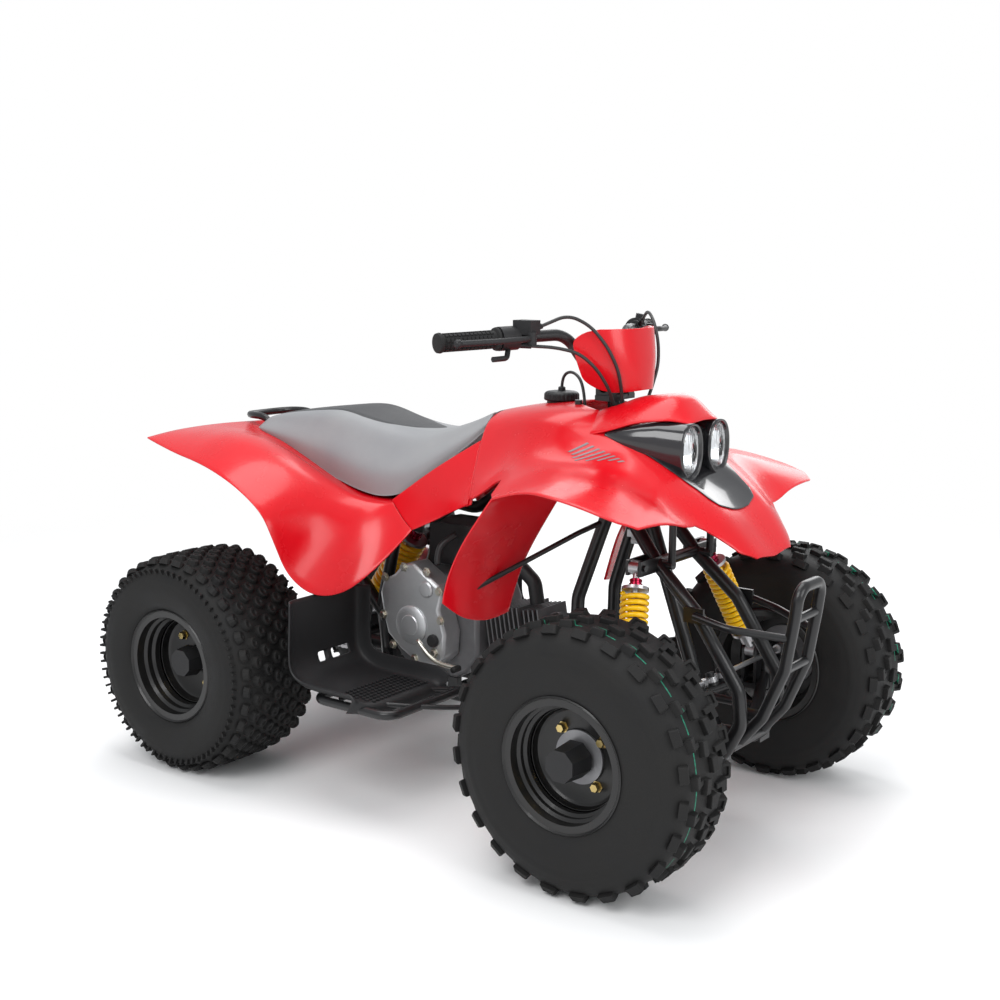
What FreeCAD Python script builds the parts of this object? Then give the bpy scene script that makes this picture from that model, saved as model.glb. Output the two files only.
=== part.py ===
import FreeCAD, Part
import math
import os
import Sketcher

doc = FreeCAD.newDocument("QuadBike")
V = FreeCAD.Vector

# Driving sizes in millimetres and degrees.
# X points forward, Y to the rider's left, Z up, and the ground is at zero.
driving_sizes = {
    "wheelbase": 988,
    "rear_axle_x": -500,
    "front_track": 750,
    "rear_track": 663,
    "front_tyre_radius": 241,
    "front_tyre_width": 176,
    "rear_tyre_radius": 228.5,
    "rear_tyre_width": 238,
    "tyre_wall": 10,
    "front_rim_width": 164,
    "rear_rim_width": 208,
    "rim_lip_radius": 119,
    "bead_seat_radius": 105,
    "rim_well_radius": 88,
    "rim_wall": 3,
    "front_disc_offset": 20,
    "rear_disc_offset": 28,
    "wheel_bore_radius": 26,
    "hub_flange_radius": 47,
    "hub_barrel_radius": 23,
    "hub_cap_radius": 33,
    "front_cap_length": 64,
    "rear_cap_length": 46,
    "stud_circle_radius": 57,
    "stud_radius": 5,
    "rear_axle_radius": 15,
    "spindle_radius": 12,
    "running_clearance": 0.05,
    "piece_gap": 0.3,
    "kingpin_spacing": 580,
    "kingpin_radius": 10,
    "kingpin_barrel_radius": 17,
    "kingpin_barrel_bottom": 196,
    "kingpin_barrel_top": 272,
    "yoke_thickness": 10,
    "steering_arm_length": 45,
    "steering_pin_offset": 20,
    "steering_tilt": 20,
    "steering_foot_z": 270,
    "steering_head_z": 810,
    "stem_radius": 14,
    "tie_rod_radius": 5,
    "tie_eye_radius": 13,
    "tie_eye_thickness": 10,
    "frame_tube_radius": 13,
    "frame_rail_z": 168,
    "frame_rail_spacing": 140,
    "arm_pivot_z": 200,
    "arm_pivot_spacing": 190,
    "arm_pivot_front": 565,
    "arm_pivot_rear": 405,
    "arm_tube_radius": 11,
    "shock_top_x": 430,
    "shock_top_y": 130,
    "shock_top_z": 512,
    "shock_foot_x": 484,
    "shock_foot_y": 238,
    "shock_foot_z": 285,
    "front_spring_radius": 27,
    "front_spring_wire": 5,
    "front_spring_turns": 9,
    "swing_pivot_x": -215,
    "swing_pivot_z": 232,
    "swing_arm_spacing": 176,
    "sprocket_teeth": 36,
    "chain_pitch": 12.7,
    "chain_line_y": 95,
    "engine_sprocket_teeth": 14,
    "bar_radius": 11,
    "bar_clamp_z": 826,
    "bar_rise_z": 926,
    "bar_end_x": 150,
    "bar_end_y": 358,
    "bar_end_z": 917,
    "grip_radius": 16.5,
    "grip_length": 122,
    "plastic_wall": 3.5,
    "hitch_bore_radius": 6.5,
    "hitch_plate": 6,
}

sheet = doc.addObject("Spreadsheet::Sheet", "Sizes")
for row, (alias, value) in enumerate(driving_sizes.items(), 1):
    sheet.set(f"A{row}", alias)
    sheet.set(f"B{row}", str(value))
    sheet.setAlias(f"B{row}", alias)
doc.recompute()


def mm(alias):
    return float(sheet.get(alias))


class Size:
    # A length that keeps both its number and the sheet expression that gives it.
    def __init__(self, number, text):
        self.number = float(number)
        self.text = text

    def __add__(self, other):
        other = as_size(other)
        return Size(self.number + other.number, f"({self.text} + {other.text})")

    def __sub__(self, other):
        other = as_size(other)
        return Size(self.number - other.number, f"({self.text} - {other.text})")

    def __mul__(self, other):
        other = as_size(other)
        return Size(self.number * other.number, f"({self.text} * {other.text})")

    def __truediv__(self, other):
        other = as_size(other)
        return Size(self.number / other.number, f"({self.text} / {other.text})")

    def __neg__(self):
        return Size(-self.number, f"(0 - {self.text})")


def as_size(value):
    return value if isinstance(value, Size) else Size(value, repr(float(value)))


def cell(alias):
    return Size(mm(alias), f"Sizes.{alias}")


# Placements of the main stations, worked out from the sheet.
front_axle_x = mm("rear_axle_x") + mm("wheelbase")
front_hub = V(front_axle_x, mm("front_track") / 2, mm("front_tyre_radius"))
rear_hub = V(mm("rear_axle_x"), mm("rear_track") / 2, mm("rear_tyre_radius"))
tilt = math.radians(mm("steering_tilt"))
stem_up = V(-math.sin(tilt), 0, math.cos(tilt))
stem_ahead = V(math.cos(tilt), 0, math.sin(tilt))
arm_length = mm("steering_arm_length")
stem_foot = V(front_axle_x + arm_length - arm_length * stem_ahead.x + 0.5, 0, mm("steering_foot_z"))
stem_top = stem_foot + stem_up * ((mm("steering_head_z") - mm("steering_foot_z")) / stem_up.z)
kingpin_y = mm("kingpin_spacing") / 2
sides = {"left": 1, "right": -1}
footwell_floor = 222
cap_x, cap_hole_radius = 172, 31


def mirrored(point, side):
    return V(point.x, point.y * side, point.z)


def origin_plane(body, role):
    for feature in body.Origin.OriginFeatures:
        if feature.Role == role:
            return feature
    return None


def new_body(label):
    body = doc.addObject("PartDesign::Body", label)
    body.Label = label
    return body


def place_sketch(body, name, role, offset=None):
    sketch = body.newObject("Sketcher::SketchObject", name)
    sketch.AttachmentSupport = [(origin_plane(body, role), "")]
    sketch.MapMode = "FlatFace"
    if offset is not None:
        sketch.AttachmentOffset = FreeCAD.Placement(V(0, 0, offset.number), FreeCAD.Rotation())
        sketch.setExpression("AttachmentOffset.Base.z", offset.text)
    return sketch


def hold(sketch, kind, geometry, end, length):
    # Ties one coordinate of a sketch point to its size, on either side of the origin.
    if abs(length.number) < 1e-9:
        axis = -2 if kind == "DistanceX" else -1
        sketch.addConstraint(Sketcher.Constraint("PointOnObject", geometry, end, axis))
        return
    if length.number > 0:
        index = sketch.addConstraint(Sketcher.Constraint(kind, -1, 1, geometry, end, length.number))
    else:
        length = -length
        index = sketch.addConstraint(Sketcher.Constraint(kind, geometry, end, -1, 1, length.number))
    sketch.setExpression(f"Constraints[{index}]", length.text)


def polygon_sketch(body, name, role, corners, offset=None):
    sketch = place_sketch(body, name, role, offset)
    corners = [(as_size(x), as_size(y)) for x, y in corners]
    count = len(corners)
    for index in range(count):
        start, end = corners[index], corners[(index + 1) % count]
        line = Part.LineSegment(V(start[0].number, start[1].number, 0), V(end[0].number, end[1].number, 0))
        sketch.addGeometry(line, False)
    for index in range(count):
        sketch.addConstraint(Sketcher.Constraint("Coincident", index, 2, (index + 1) % count, 1))
    for index, (x, y) in enumerate(corners):
        hold(sketch, "DistanceX", index, 1, x)
        hold(sketch, "DistanceY", index, 1, y)
    return sketch


def circle_sketch(body, name, role, x, y, radius, offset=None):
    sketch = place_sketch(body, name, role, offset)
    x, y, radius = as_size(x), as_size(y), as_size(radius)
    sketch.addGeometry(Part.Circle(V(x.number, y.number, 0), V(0, 0, 1), radius.number), False)
    hold(sketch, "DistanceX", 0, 3, x)
    hold(sketch, "DistanceY", 0, 3, y)
    index = sketch.addConstraint(Sketcher.Constraint("Radius", 0, radius.number))
    sketch.setExpression(f"Constraints[{index}]", radius.text)
    return sketch


def revolve(body, name, sketch):
    turned = body.newObject("PartDesign::Revolution", name)
    turned.Profile = sketch
    turned.ReferenceAxis = (sketch, ["H_Axis"])
    turned.Angle = 360
    return turned


def pad(body, name, sketch, length):
    padded = body.newObject("PartDesign::Pad", name)
    padded.Profile = sketch
    length = as_size(length)
    padded.Length = length.number
    padded.setExpression("Length", length.text)
    return padded


def pocket_through(body, name, sketch, length, reverse=False):
    before = body.Tip.Shape.Volume
    cut = body.newObject("PartDesign::Pocket", name)
    cut.Profile = sketch
    length = as_size(length)
    cut.Length = length.number
    cut.setExpression("Length", length.text)
    cut.Reversed = reverse
    doc.recompute()
    if cut.Shape.Volume > before - 1:
        raise ValueError(f"{name} cuts nothing")
    return cut


def polar_pattern(body, name, feature, axis_sketch, copies):
    pattern = body.newObject("PartDesign::PolarPattern", name)
    pattern.Originals = [feature]
    pattern.Axis = (axis_sketch, ["N_Axis"])
    pattern.Angle = 360
    copies = as_size(copies)
    pattern.Occurrences = int(copies.number)
    if "Sizes" in copies.text:
        pattern.setExpression("Occurrences", copies.text)
    body.Tip = pattern
    return pattern


def feature(label, shape):
    solid = doc.addObject("Part::Feature", label)
    solid.Label = label
    solid.Shape = shape
    return solid


def facing(side):
    # Turns a wheel drawn along +X so that its outer face looks to the given side.
    return FreeCAD.Rotation(V(0, 0, 1), 90 * side)


def fused(shapes):
    shapes = list(shapes)
    if len(shapes) == 1:
        return shapes[0]
    joined = shapes[0].multiFuse(shapes[1:])
    merged = joined.copy().removeSplitter()
    return merged if merged.isValid() else joined


def cylinder(start, end, radius):
    run = end - start
    return Part.makeCylinder(radius, run.Length, start, run)


def ring(centre, axis, outer, inner, length):
    start = centre - axis * (length / 2)
    return Part.makeCylinder(outer, length, start, axis).cut(Part.makeCylinder(inner, length, start, axis))


def block(corner, far_corner):
    span = far_corner - corner
    return Part.makeBox(span.x, span.y, span.z, corner)


def bent_path(points, bend):
    # Straight runs joined by tangent arcs of one radius, smaller where a run is short.
    edges = []
    start = points[0]
    for before, corner, after in zip(points, points[1:], points[2:]):
        back, ahead = (before - corner), (after - corner)
        turn = math.pi - back.getAngle(ahead)
        shortest = min(back.Length, ahead.Length)
        radius = min(bend, 0.45 * shortest / math.tan(turn / 2))
        reach = radius * math.tan(turn / 2)
        back.normalize()
        ahead.normalize()
        first, last = corner + back * reach, corner + ahead * reach
        inward = back + ahead
        inward.normalize()
        middle = corner + inward * (radius / math.cos(turn / 2) - radius)
        edges.append(Part.LineSegment(start, first).toShape())
        edges.append(Part.Arc(first, middle, last).toShape())
        start = last
    edges.append(Part.LineSegment(start, points[-1]).toShape())
    return Part.Wire(edges)


def tube(points, radius, bend=45):
    path = bent_path(points, bend)
    if len(points) == 2:
        return cylinder(points[0], points[1], radius)
    start_circle = Part.Wire(Part.Circle(points[0], points[1] - points[0], radius).toShape())
    return path.makePipeShell([start_circle], True, False)


def even_knots(count, degree):
    spans = count - degree
    return list(range(spans + 1)), [degree + 1] + [1] * (spans - 1) + [degree + 1]


def skin(rows, wall):
    # A moulded sheet: a smooth surface drawn by a net of points, thickened by the wall.
    degree = 2
    surface = Part.BSplineSurface()
    row_knots, row_counts = even_knots(len(rows), degree)
    column_knots, column_counts = even_knots(len(rows[0]), degree)
    surface.buildFromPolesMultsKnots(rows, row_counts, column_counts, row_knots, column_knots,
                                     False, False, degree, degree)
    return surface.toShape().makeOffsetShape(wall, 0.01, False, False, 0, 0, True)


def kept(shape, *others):
    # The shape with its neighbours' room cut away, so that it meets them face to face.
    for other in others:
        shape = shape.cut(other)
    return max(shape.Solids, key=lambda solid: solid.Volume)


def both_sides(shape):
    return fused([shape, shape.mirror(V(0, 0, 0), V(0, 1, 0))])


def pair(shape):
    return Part.makeCompound([shape, shape.mirror(V(0, 0, 0), V(0, 1, 0))])


# Wheels

def make_rim(label, half_width, disc_offset):
    body = new_body(label)
    lip, seat, well = cell("rim_lip_radius"), cell("bead_seat_radius"), cell("rim_well_radius")
    wall = cell("rim_wall")
    step_start = half_width - 20
    step_width = (step_start - disc_offset - 8) / 3
    drop = (seat - well) / 3
    tyre_side = [(half_width, lip), (half_width - 4, lip - 3), (half_width - 5, seat)]
    bore_side = []
    for step in range(3):
        edge = step_start - step_width * step
        tyre_side += [(edge, seat - drop * step), (edge - step_width * 0.3, seat - drop * (step + 1))]
        bore_side = [(edge - step_width * 0.3, seat - wall - drop * (step + 1)),
                     (edge, seat - wall - drop * step)] + bore_side
    well_end = -half_width + 55
    tyre_side += [(well_end, well), (well_end - 10, seat), (-half_width + 5, seat),
                  (-half_width + 4, lip - 3), (-half_width, lip)]
    rear = [(-half_width - wall * 0.7, lip - wall * 0.7), (-half_width + 1.4, lip - 5),
            (-half_width + 2, seat - wall), (well_end - 12, seat - wall), (well_end - 2, well - wall),
            (disc_offset - 4, well - wall), (disc_offset - 4, cell("wheel_bore_radius")),
            (disc_offset, cell("wheel_bore_radius")), (disc_offset, well - wall - 6),
            (disc_offset + 4, well - wall)]
    front = [(half_width - 2, seat - wall), (half_width - 1.4, lip - 5),
             (half_width + wall * 0.7, lip - wall * 0.7)]
    sketch = polygon_sketch(body, label + "_section", "XY_Plane", tyre_side + rear + bore_side[1:] + front)
    revolve(body, label + "_turned", sketch)
    return body


def make_tyre(label, half_width, half_section, radius):
    body = new_body(label)
    lip, seat, wall = cell("rim_lip_radius"), cell("bead_seat_radius"), cell("tyre_wall")
    depth = radius - lip
    outer = [(half_width - 5, seat), (half_width - 4, lip - 3), (half_width, lip),
             (half_section - 3, lip + depth * 0.12), (half_section, lip + depth * 0.4),
             (half_section - 3, lip + depth * 0.68), (half_section - 12, lip + depth * 0.9),
             (half_section * 0.6, lip + depth * 0.985), (half_section * 0.25, radius)]
    inner = [(half_section * 0.5, radius - wall * 1.8), (half_section - wall * 2.3, radius - wall * 2.6),
             (half_section - wall * 1.1, lip + depth * 0.6), (half_section - wall, lip + depth * 0.35),
             (half_width - 18, lip), (half_width - 18, seat)]
    section = outer + [(-x, y) for x, y in reversed(outer)]
    section += [(-x, y) for x, y in reversed(inner)] + inner
    sketch = polygon_sketch(body, label + "_section", "XY_Plane", section)
    revolve(body, label + "_turned", sketch)
    return body


def make_hub(label, disc_offset):
    body = new_body(label)
    bore = cell("spindle_radius") + cell("running_clearance")
    barrel, flange = cell("hub_barrel_radius"), cell("hub_flange_radius")
    gap = cell("piece_gap")
    section = [(disc_offset - 62, bore), (disc_offset + 12, bore), (disc_offset + 12, barrel),
               (disc_offset + 4.3, barrel), (disc_offset + 4.3, flange), (disc_offset, flange),
               (disc_offset, barrel), (disc_offset - 4, barrel), (disc_offset - 4, flange + 18),
               (disc_offset - 10, flange + 18), (disc_offset - 12, barrel + 8),
               (disc_offset - 62, barrel + 3)]
    sketch = polygon_sketch(body, label + "_section", "XY_Plane", section)
    revolve(body, label + "_turned", sketch)
    return body


def octagon(radius):
    corner = math.cos(math.radians(22.5))
    near = math.sin(math.radians(22.5))
    shape = [(corner, near), (near, corner), (-near, corner), (-corner, near),
             (-corner, -near), (-near, -corner), (near, -corner), (corner, -near)]
    return [(radius * x, radius * y) for x, y in shape]


def make_cap(label, disc_offset, length):
    # An eight-sided cap that narrows to its face, drawn with its axis along X.
    body = new_body(label)
    base = disc_offset + 12
    front = base + length - 12
    radius = cell("hub_cap_radius")
    back_sketch = polygon_sketch(body, label + "_back", "YZ_Plane", octagon(radius), base + 0.3)
    front_sketch = polygon_sketch(body, label + "_front", "YZ_Plane", octagon(radius - 4), front)
    loft = body.newObject("PartDesign::AdditiveLoft", label + "_loft")
    loft.Profile = back_sketch
    loft.Sections = [front_sketch]
    loft.Ruled = True
    doc.recompute()
    return body


def make_front_wheel(name, side):
    half_rim = cell("front_rim_width") / 2
    disc = cell("front_disc_offset")
    bodies = [
        make_rim(f"front_rim_{name}", half_rim, disc),
        make_tyre(f"front_tyre_{name}", half_rim, cell("front_tyre_width") / 2, cell("front_tyre_radius")),
        make_hub(f"front_hub_{name}", disc),
        make_cap(f"hub_cap_{name}", disc, cell("front_cap_length")),
    ]
    for body in bodies:
        body.Placement = FreeCAD.Placement(mirrored(front_hub, side), facing(side))


for name, side in sides.items():
    make_front_wheel(name, side)


def rear_wheel_pieces(label, side):
    half_rim = cell("rear_rim_width") / 2
    disc = cell("rear_disc_offset")
    if label == "rear_rims":
        body = make_rim(f"{label}_{side}", half_rim, disc)
    elif label == "rear_tyres":
        body = make_tyre(f"{label}_{side}", half_rim, cell("rear_tyre_width") / 2, cell("rear_tyre_radius"))
    else:
        body = make_cap(f"{label}_{side}", disc, cell("rear_cap_length"))
    body.Placement = FreeCAD.Placement(mirrored(rear_hub, sides[side]), facing(sides[side]))
    return body


def compound_of(label, parts):
    group = doc.addObject("Part::Compound", label)
    group.Label = label
    group.Links = parts
    return group


for label in ("rear_rims", "rear_tyres", "rear_caps"):
    compound_of(label, [rear_wheel_pieces(label, side) for side in sides])

node_names = [f"{piece}_{side}" for piece in ("front_rim", "front_tyre", "front_hub", "hub_cap")
              for side in sides]
node_names += ["rear_rims", "rear_tyres", "rear_caps", "rear_axle", "rear_sprocket", "engine_sprocket", "brake_disc",
               "drive_chain", "knuckle_left", "knuckle_right", "tie_rod_left", "tie_rod_right",
               "steering_stem", "suspension_arms", "shock_absorbers", "coil_springs", "swingarm", "frame", "cover_posts",
               "front_bumper", "engine_case", "engine_cover", "engine_cylinder", "intake", "exhaust",
               "handlebar", "grips", "control_left", "control_right", "bar_cover", "brake_cable",
               "throttle_cable", "left_brake_cable", "seat", "front_fairing", "rear_fairing", "footwells",
               "lamp_cowl", "headlamps", "fuel_cap", "tail_lamp", "rectifier", "fender_stays"]

# Rear axle, sprocket and brake disc

def make_rear_axle():
    disc = mm("rear_disc_offset")
    flange_face = rear_hub.y + disc - 4
    end = V(rear_hub.x, rear_hub.y + disc + 12, rear_hub.z)
    shaft = cylinder(mirrored(end, -1), end, mm("rear_axle_radius"))
    pieces = [shaft]
    for side in sides.values():
        outer = V(rear_hub.x, side * flange_face, rear_hub.z)
        pieces.append(cylinder(outer, outer - V(0, 7 * side, 0), mm("hub_flange_radius") + 18))
        pieces.append(cylinder(outer, outer - V(0, 75 * side, 0), mm("hub_barrel_radius") + 2))
        carrier_face = V(rear_hub.x, side * (mm("swing_arm_spacing") / 2 + 3), rear_hub.z)
        pieces.append(cylinder(carrier_face, carrier_face + V(0, 26 * side, 0), 24))
    feature("rear_axle", fused(pieces))


def pitch_radius(teeth):
    return mm("chain_pitch") / (2 * math.sin(math.pi / teeth))


rear_sprocket_radius = pitch_radius(mm("sprocket_teeth"))
engine_sprocket_radius = pitch_radius(mm("engine_sprocket_teeth"))
engine_sprocket = V(-128, mm("chain_line_y"), 268)


def make_sprocket():
    centre = V(rear_hub.x, mm("chain_line_y"), rear_hub.z)
    plate = ring(centre, V(0, 1, 0), rear_sprocket_radius - 4.6, 24, 5)
    holes = []
    for index in range(6):
        angle = math.radians(60 * index)
        spot = centre + V(math.cos(angle), 0, math.sin(angle)) * 46
        holes.append(cylinder(spot - V(0, 4, 0), spot + V(0, 4, 0), 11))
    feature("rear_sprocket", plate.cut(Part.makeCompound(holes)))


def make_brake_disc():
    centre = V(rear_hub.x, -mm("chain_line_y") - 4, rear_hub.z)
    plate = ring(centre, V(0, 1, 0), 82, 24, 4)
    holes = []
    for index in range(9):
        angle = math.radians(40 * index)
        spot = centre + V(math.cos(angle), 0, math.sin(angle)) * 46
        holes.append(cylinder(spot - V(0, 4, 0), spot + V(0, 4, 0), 12))
    feature("brake_disc", plate.cut(Part.makeCompound(holes)))


make_rear_axle()
make_sprocket()
make_brake_disc()


def belt_outline(centre_a, radius_a, centre_b, radius_b, y):
    # The loop round two wheels on one side: two straight runs and two arcs.
    span = centre_a - centre_b
    flat = V(span.x, 0, span.z)
    base = math.atan2(flat.z, flat.x)
    lean = math.acos((radius_b - radius_a) / flat.Length)
    ends = {}
    for sign in (1, -1):
        angle = base + sign * lean
        direction = V(math.cos(angle), 0, math.sin(angle))
        ends[sign] = (V(centre_a.x, y, centre_a.z) + direction * radius_a,
                      V(centre_b.x, y, centre_b.z) + direction * radius_b)
    flat.normalize()
    front = V(centre_a.x, y, centre_a.z) + flat * radius_a
    rear = V(centre_b.x, y, centre_b.z) - flat * radius_b
    return Part.Wire([
        Part.LineSegment(ends[1][1], ends[1][0]).toShape(),
        Part.Arc(ends[1][0], front, ends[-1][0]).toShape(),
        Part.LineSegment(ends[-1][0], ends[-1][1]).toShape(),
        Part.Arc(ends[-1][1], rear, ends[1][1]).toShape(),
    ])


def make_chain():
    axle = V(rear_hub.x, 0, rear_hub.z)
    low = mm("chain_line_y") - 6
    outer = belt_outline(engine_sprocket, engine_sprocket_radius + 5, axle, rear_sprocket_radius + 5, low)
    inner = belt_outline(engine_sprocket, engine_sprocket_radius - 4, axle, rear_sprocket_radius - 4, low)
    band = Part.Face(outer).extrude(V(0, 12, 0)).cut(Part.Face(inner).extrude(V(0, 12, 0)))
    feature("drive_chain", band)


make_chain()


def make_engine_sprocket():
    plate = cylinder(engine_sprocket - V(0, 2.5, 0), engine_sprocket + V(0, 2.5, 0), engine_sprocket_radius - 4.6)
    shaft = cylinder(V(engine_sprocket.x, 78, engine_sprocket.z), engine_sprocket + V(0, 8, 0), 10)
    feature("engine_sprocket", fused([plate, shaft]))


make_engine_sprocket()

# Knuckles, suspension arms and steering

def make_knuckle(name, side):
    x, y = front_axle_x, kingpin_y
    thick = mm("yoke_thickness")
    low, high = mm("kingpin_barrel_bottom") - 2, mm("kingpin_barrel_top") + 2
    top_face = high + thick
    spine_face = y + 40
    pieces = []
    for bottom in (low - thick, high):
        pieces.append(Part.makeCylinder(20, thick, V(x, y, bottom)))
        pieces.append(block(V(x - 20, y, bottom), V(x + 20, spine_face, bottom + thick)))
    pieces.append(block(V(x - 20, y + 28, low - thick), V(x + 20, spine_face, top_face)))
    pieces.append(Part.makeCylinder(mm("kingpin_radius"), top_face - low + 2 * thick + 8, V(x, y, low - thick - 8)))
    pieces.append(Part.makeCylinder(15, 8, V(x, y, low - thick - 8)))
    pieces.append(Part.makeCylinder(14, 8, V(x, y, top_face)))
    spindle_end = V(x, mm("front_track") / 2 + mm("front_disc_offset") + 10, front_hub.z)
    pieces.append(cylinder(V(x, spine_face - 6, front_hub.z), spindle_end, mm("spindle_radius")))
    pin_x = x + mm("steering_arm_length")
    pieces.append(block(V(x, y - 11, high), V(pin_x, y + 11, top_face)))
    pieces.append(Part.makeCylinder(13, thick, V(pin_x, y, high)))
    pieces.append(Part.makeCylinder(4, 24, V(pin_x, y, top_face - 1)))
    pieces.append(Part.makeCylinder(7.5, 7, V(pin_x, y, top_face + 17)))
    shape = fused(pieces)
    if side < 0:
        shape = shape.mirror(V(0, 0, 0), V(0, 1, 0))
    feature(f"knuckle_{name}", shape)


pin_rise = 8.3
cable_clip_reach = 452
tie_inner = stem_foot + stem_ahead * arm_length + stem_up * pin_rise
tie_eye_z = mm("kingpin_barrel_top") + 2 + mm("yoke_thickness") + 3.5 + mm("tie_eye_thickness") / 2


def make_tie_rod(name, side):
    thick = mm("tie_eye_thickness")
    inner = V(tie_inner.x, side * mm("steering_pin_offset"), tie_inner.z)
    outer = V(front_axle_x + arm_length, side * kingpin_y, tie_eye_z)
    run = outer - inner
    run.normalize()
    eye = mm("tie_eye_radius")
    inner_eye = ring(inner, stem_up, eye, mm("spindle_radius") * 0 + 5 + mm("running_clearance"), thick)
    outer_eye = ring(outer, V(0, 0, 1), eye, 8, thick)
    bar = cylinder(inner + run * (eye - 1.5), outer - run * (eye - 1.5), mm("tie_rod_radius"))
    inner_nut = cylinder(inner + run * 28, inner + run * 40, 9)
    outer_nut = cylinder(outer - run * 40, outer - run * 28, 9)
    feature(f"tie_rod_{name}", fused([inner_eye, outer_eye, bar, inner_nut, outer_nut]))


def make_stem():
    column = cylinder(stem_foot - stem_up * 34, stem_top - stem_up * 2, mm("stem_radius"))
    pieces = [column]
    plate_thickness = 6
    plate_top = pin_rise - mm("tie_eye_thickness") / 2 - mm("piece_gap")
    for side in (1, -1):
        foot = stem_foot + stem_ahead * arm_length + V(0, side * mm("steering_pin_offset"), 0)
        base = foot + stem_up * (plate_top - plate_thickness)
        pieces.append(cylinder(base, foot + stem_up * plate_top, 12))
        pieces.append(cylinder(base, foot + stem_up * (pin_rise + 14), 5))
        pieces.append(cylinder(foot + stem_up * (pin_rise + 6), foot + stem_up * (pin_rise + 13), 8.5))
    half = mm("steering_pin_offset")
    outline = [(0, 17), (arm_length, half + 12), (arm_length, -half - 12), (0, -17)]
    corners = [stem_foot + stem_up * (plate_top - plate_thickness) + stem_ahead * a + V(0, b, 0) for a, b in outline]
    plate = Part.Face(Part.makePolygon(corners + corners[:1])).extrude(stem_up * plate_thickness)
    pieces.append(plate)
    bar_z = mm("bar_clamp_z")
    pieces.append(block(V(stem_top.x - 16, -46, bar_z - 26), V(stem_top.x + 16, 46, bar_z - 16)))
    for side in (1, -1):
        pieces.append(block(V(stem_top.x - 17, 32 * side - 10, bar_z - 20), V(stem_top.x + 17, 32 * side + 10, bar_z + 15)))
    clip = stem_foot + stem_up * cable_clip_reach
    pieces.append(cylinder(clip, clip - stem_up * 6, 32))
    bar_room = cylinder(V(stem_top.x, -60, bar_z), V(stem_top.x, 60, bar_z), mm("bar_radius"))
    feature("steering_stem", fused(pieces).cut(bar_room))


def make_suspension_arms():
    x, y = front_axle_x, kingpin_y
    low, high = mm("kingpin_barrel_bottom"), mm("kingpin_barrel_top")
    middle = (low + high) / 2 - 10
    barrel = ring(V(x, y, (low + high) / 2), V(0, 0, 1), mm("kingpin_barrel_radius"),
                  mm("kingpin_radius") + mm("running_clearance"), high - low)
    pivot_y, pivot_z = mm("arm_pivot_spacing") / 2, mm("arm_pivot_z")
    pieces = [barrel]
    for pivot_x, offset in ((mm("arm_pivot_front"), 6), (mm("arm_pivot_rear"), -6)):
        pivot = V(pivot_x, pivot_y, pivot_z)
        start = V(x + offset, y - 15, middle)
        run = pivot - start
        run.normalize()
        pieces.append(cylinder(start, pivot - run * 8, mm("arm_tube_radius")))
        pieces.append(ring(pivot, V(1, 0, 0), 14, 6.05, 44))
    foot = V(mm("shock_foot_x"), mm("shock_foot_y"), mm("shock_foot_z"))
    pieces.append(block(V(foot.x - 17, foot.y - 16, middle - 14), V(foot.x + 24, foot.y + 16, middle - 4)))
    for ear in (-16.3, 10.3):
        pieces.append(block(V(foot.x + ear, foot.y - 12, middle - 6), V(foot.x + ear + 6, foot.y + 12, foot.z)))
        pieces.append(cylinder(V(foot.x + ear, foot.y, foot.z), V(foot.x + ear + 6, foot.y, foot.z), 12))
    pieces.append(cylinder(foot - V(20, 0, 0), foot + V(20, 0, 0), 6))
    brace_x = 0.5 * (mm("arm_pivot_front") + mm("arm_pivot_rear"))
    pieces.append(cylinder(V(brace_x - 62, pivot_y + 44, pivot_z + 5), V(brace_x + 58, pivot_y + 44, pivot_z + 5), 9))
    bores = [cylinder(V(pivot_x - 30, pivot_y, pivot_z), V(pivot_x + 30, pivot_y, pivot_z), 6.05)
             for pivot_x in (mm("arm_pivot_front"), mm("arm_pivot_rear"))]
    feature("suspension_arms", pair(fused(pieces).cut(Part.makeCompound(bores))))


for name, side in sides.items():
    make_knuckle(name, side)
    make_tie_rod(name, side)
make_stem()
make_suspension_arms()


def make_coil(foot, top, outer_radius, wire, turns):
    axis = top - foot
    length = axis.Length
    pitch = (length - 2 * wire) / turns
    helix = Part.makeHelix(pitch, pitch * turns, outer_radius - wire)
    start = V(outer_radius - wire, 0, 0)
    profile = Part.Wire(Part.Circle(start, V(0, 1, 0), wire).toShape())
    coil = Part.Wire(helix.Edges).makePipeShell([profile], True, True)
    axis.normalize()
    turn = FreeCAD.Rotation(V(0, 0, 1), axis)
    coil.Placement = FreeCAD.Placement(foot + axis * wire, turn)
    return coil


shock_foot = V(mm("shock_foot_x"), mm("shock_foot_y"), mm("shock_foot_z"))
shock_top = V(mm("shock_top_x"), mm("shock_top_y"), mm("shock_top_z"))
rear_shock_foot = V(-332, 0, 292)
rear_shock_top = V(-182, 0, 500)


def damper(foot, top, eye_axis, body_radius, seat_radius):
    # Two eyes, the damper body, its rod and the two spring seats.
    axis = top - foot
    length = axis.Length
    axis.normalize()
    pieces = [
        ring(foot, eye_axis, 14, 6.05, 20),
        ring(top, eye_axis, 14, 6.05, 20),
        cylinder(foot + axis * 10, foot + axis * 26, 8),
        cylinder(foot + axis * 24, foot + axis * (length * 0.55), body_radius),
        cylinder(foot + axis * (length * 0.5), top - axis * 10, body_radius * 0.45),
        cylinder(foot + axis * 46, foot + axis * 52, seat_radius),
        cylinder(top - axis * 44, top - axis * 38, seat_radius),
        cylinder(top - axis * 38, top - axis * 22, 9),
    ]
    bores = [cylinder(end - eye_axis * 12, end + eye_axis * 12, 6.05) for end in (foot, top)]
    return fused(pieces).cut(Part.makeCompound(bores))


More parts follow.
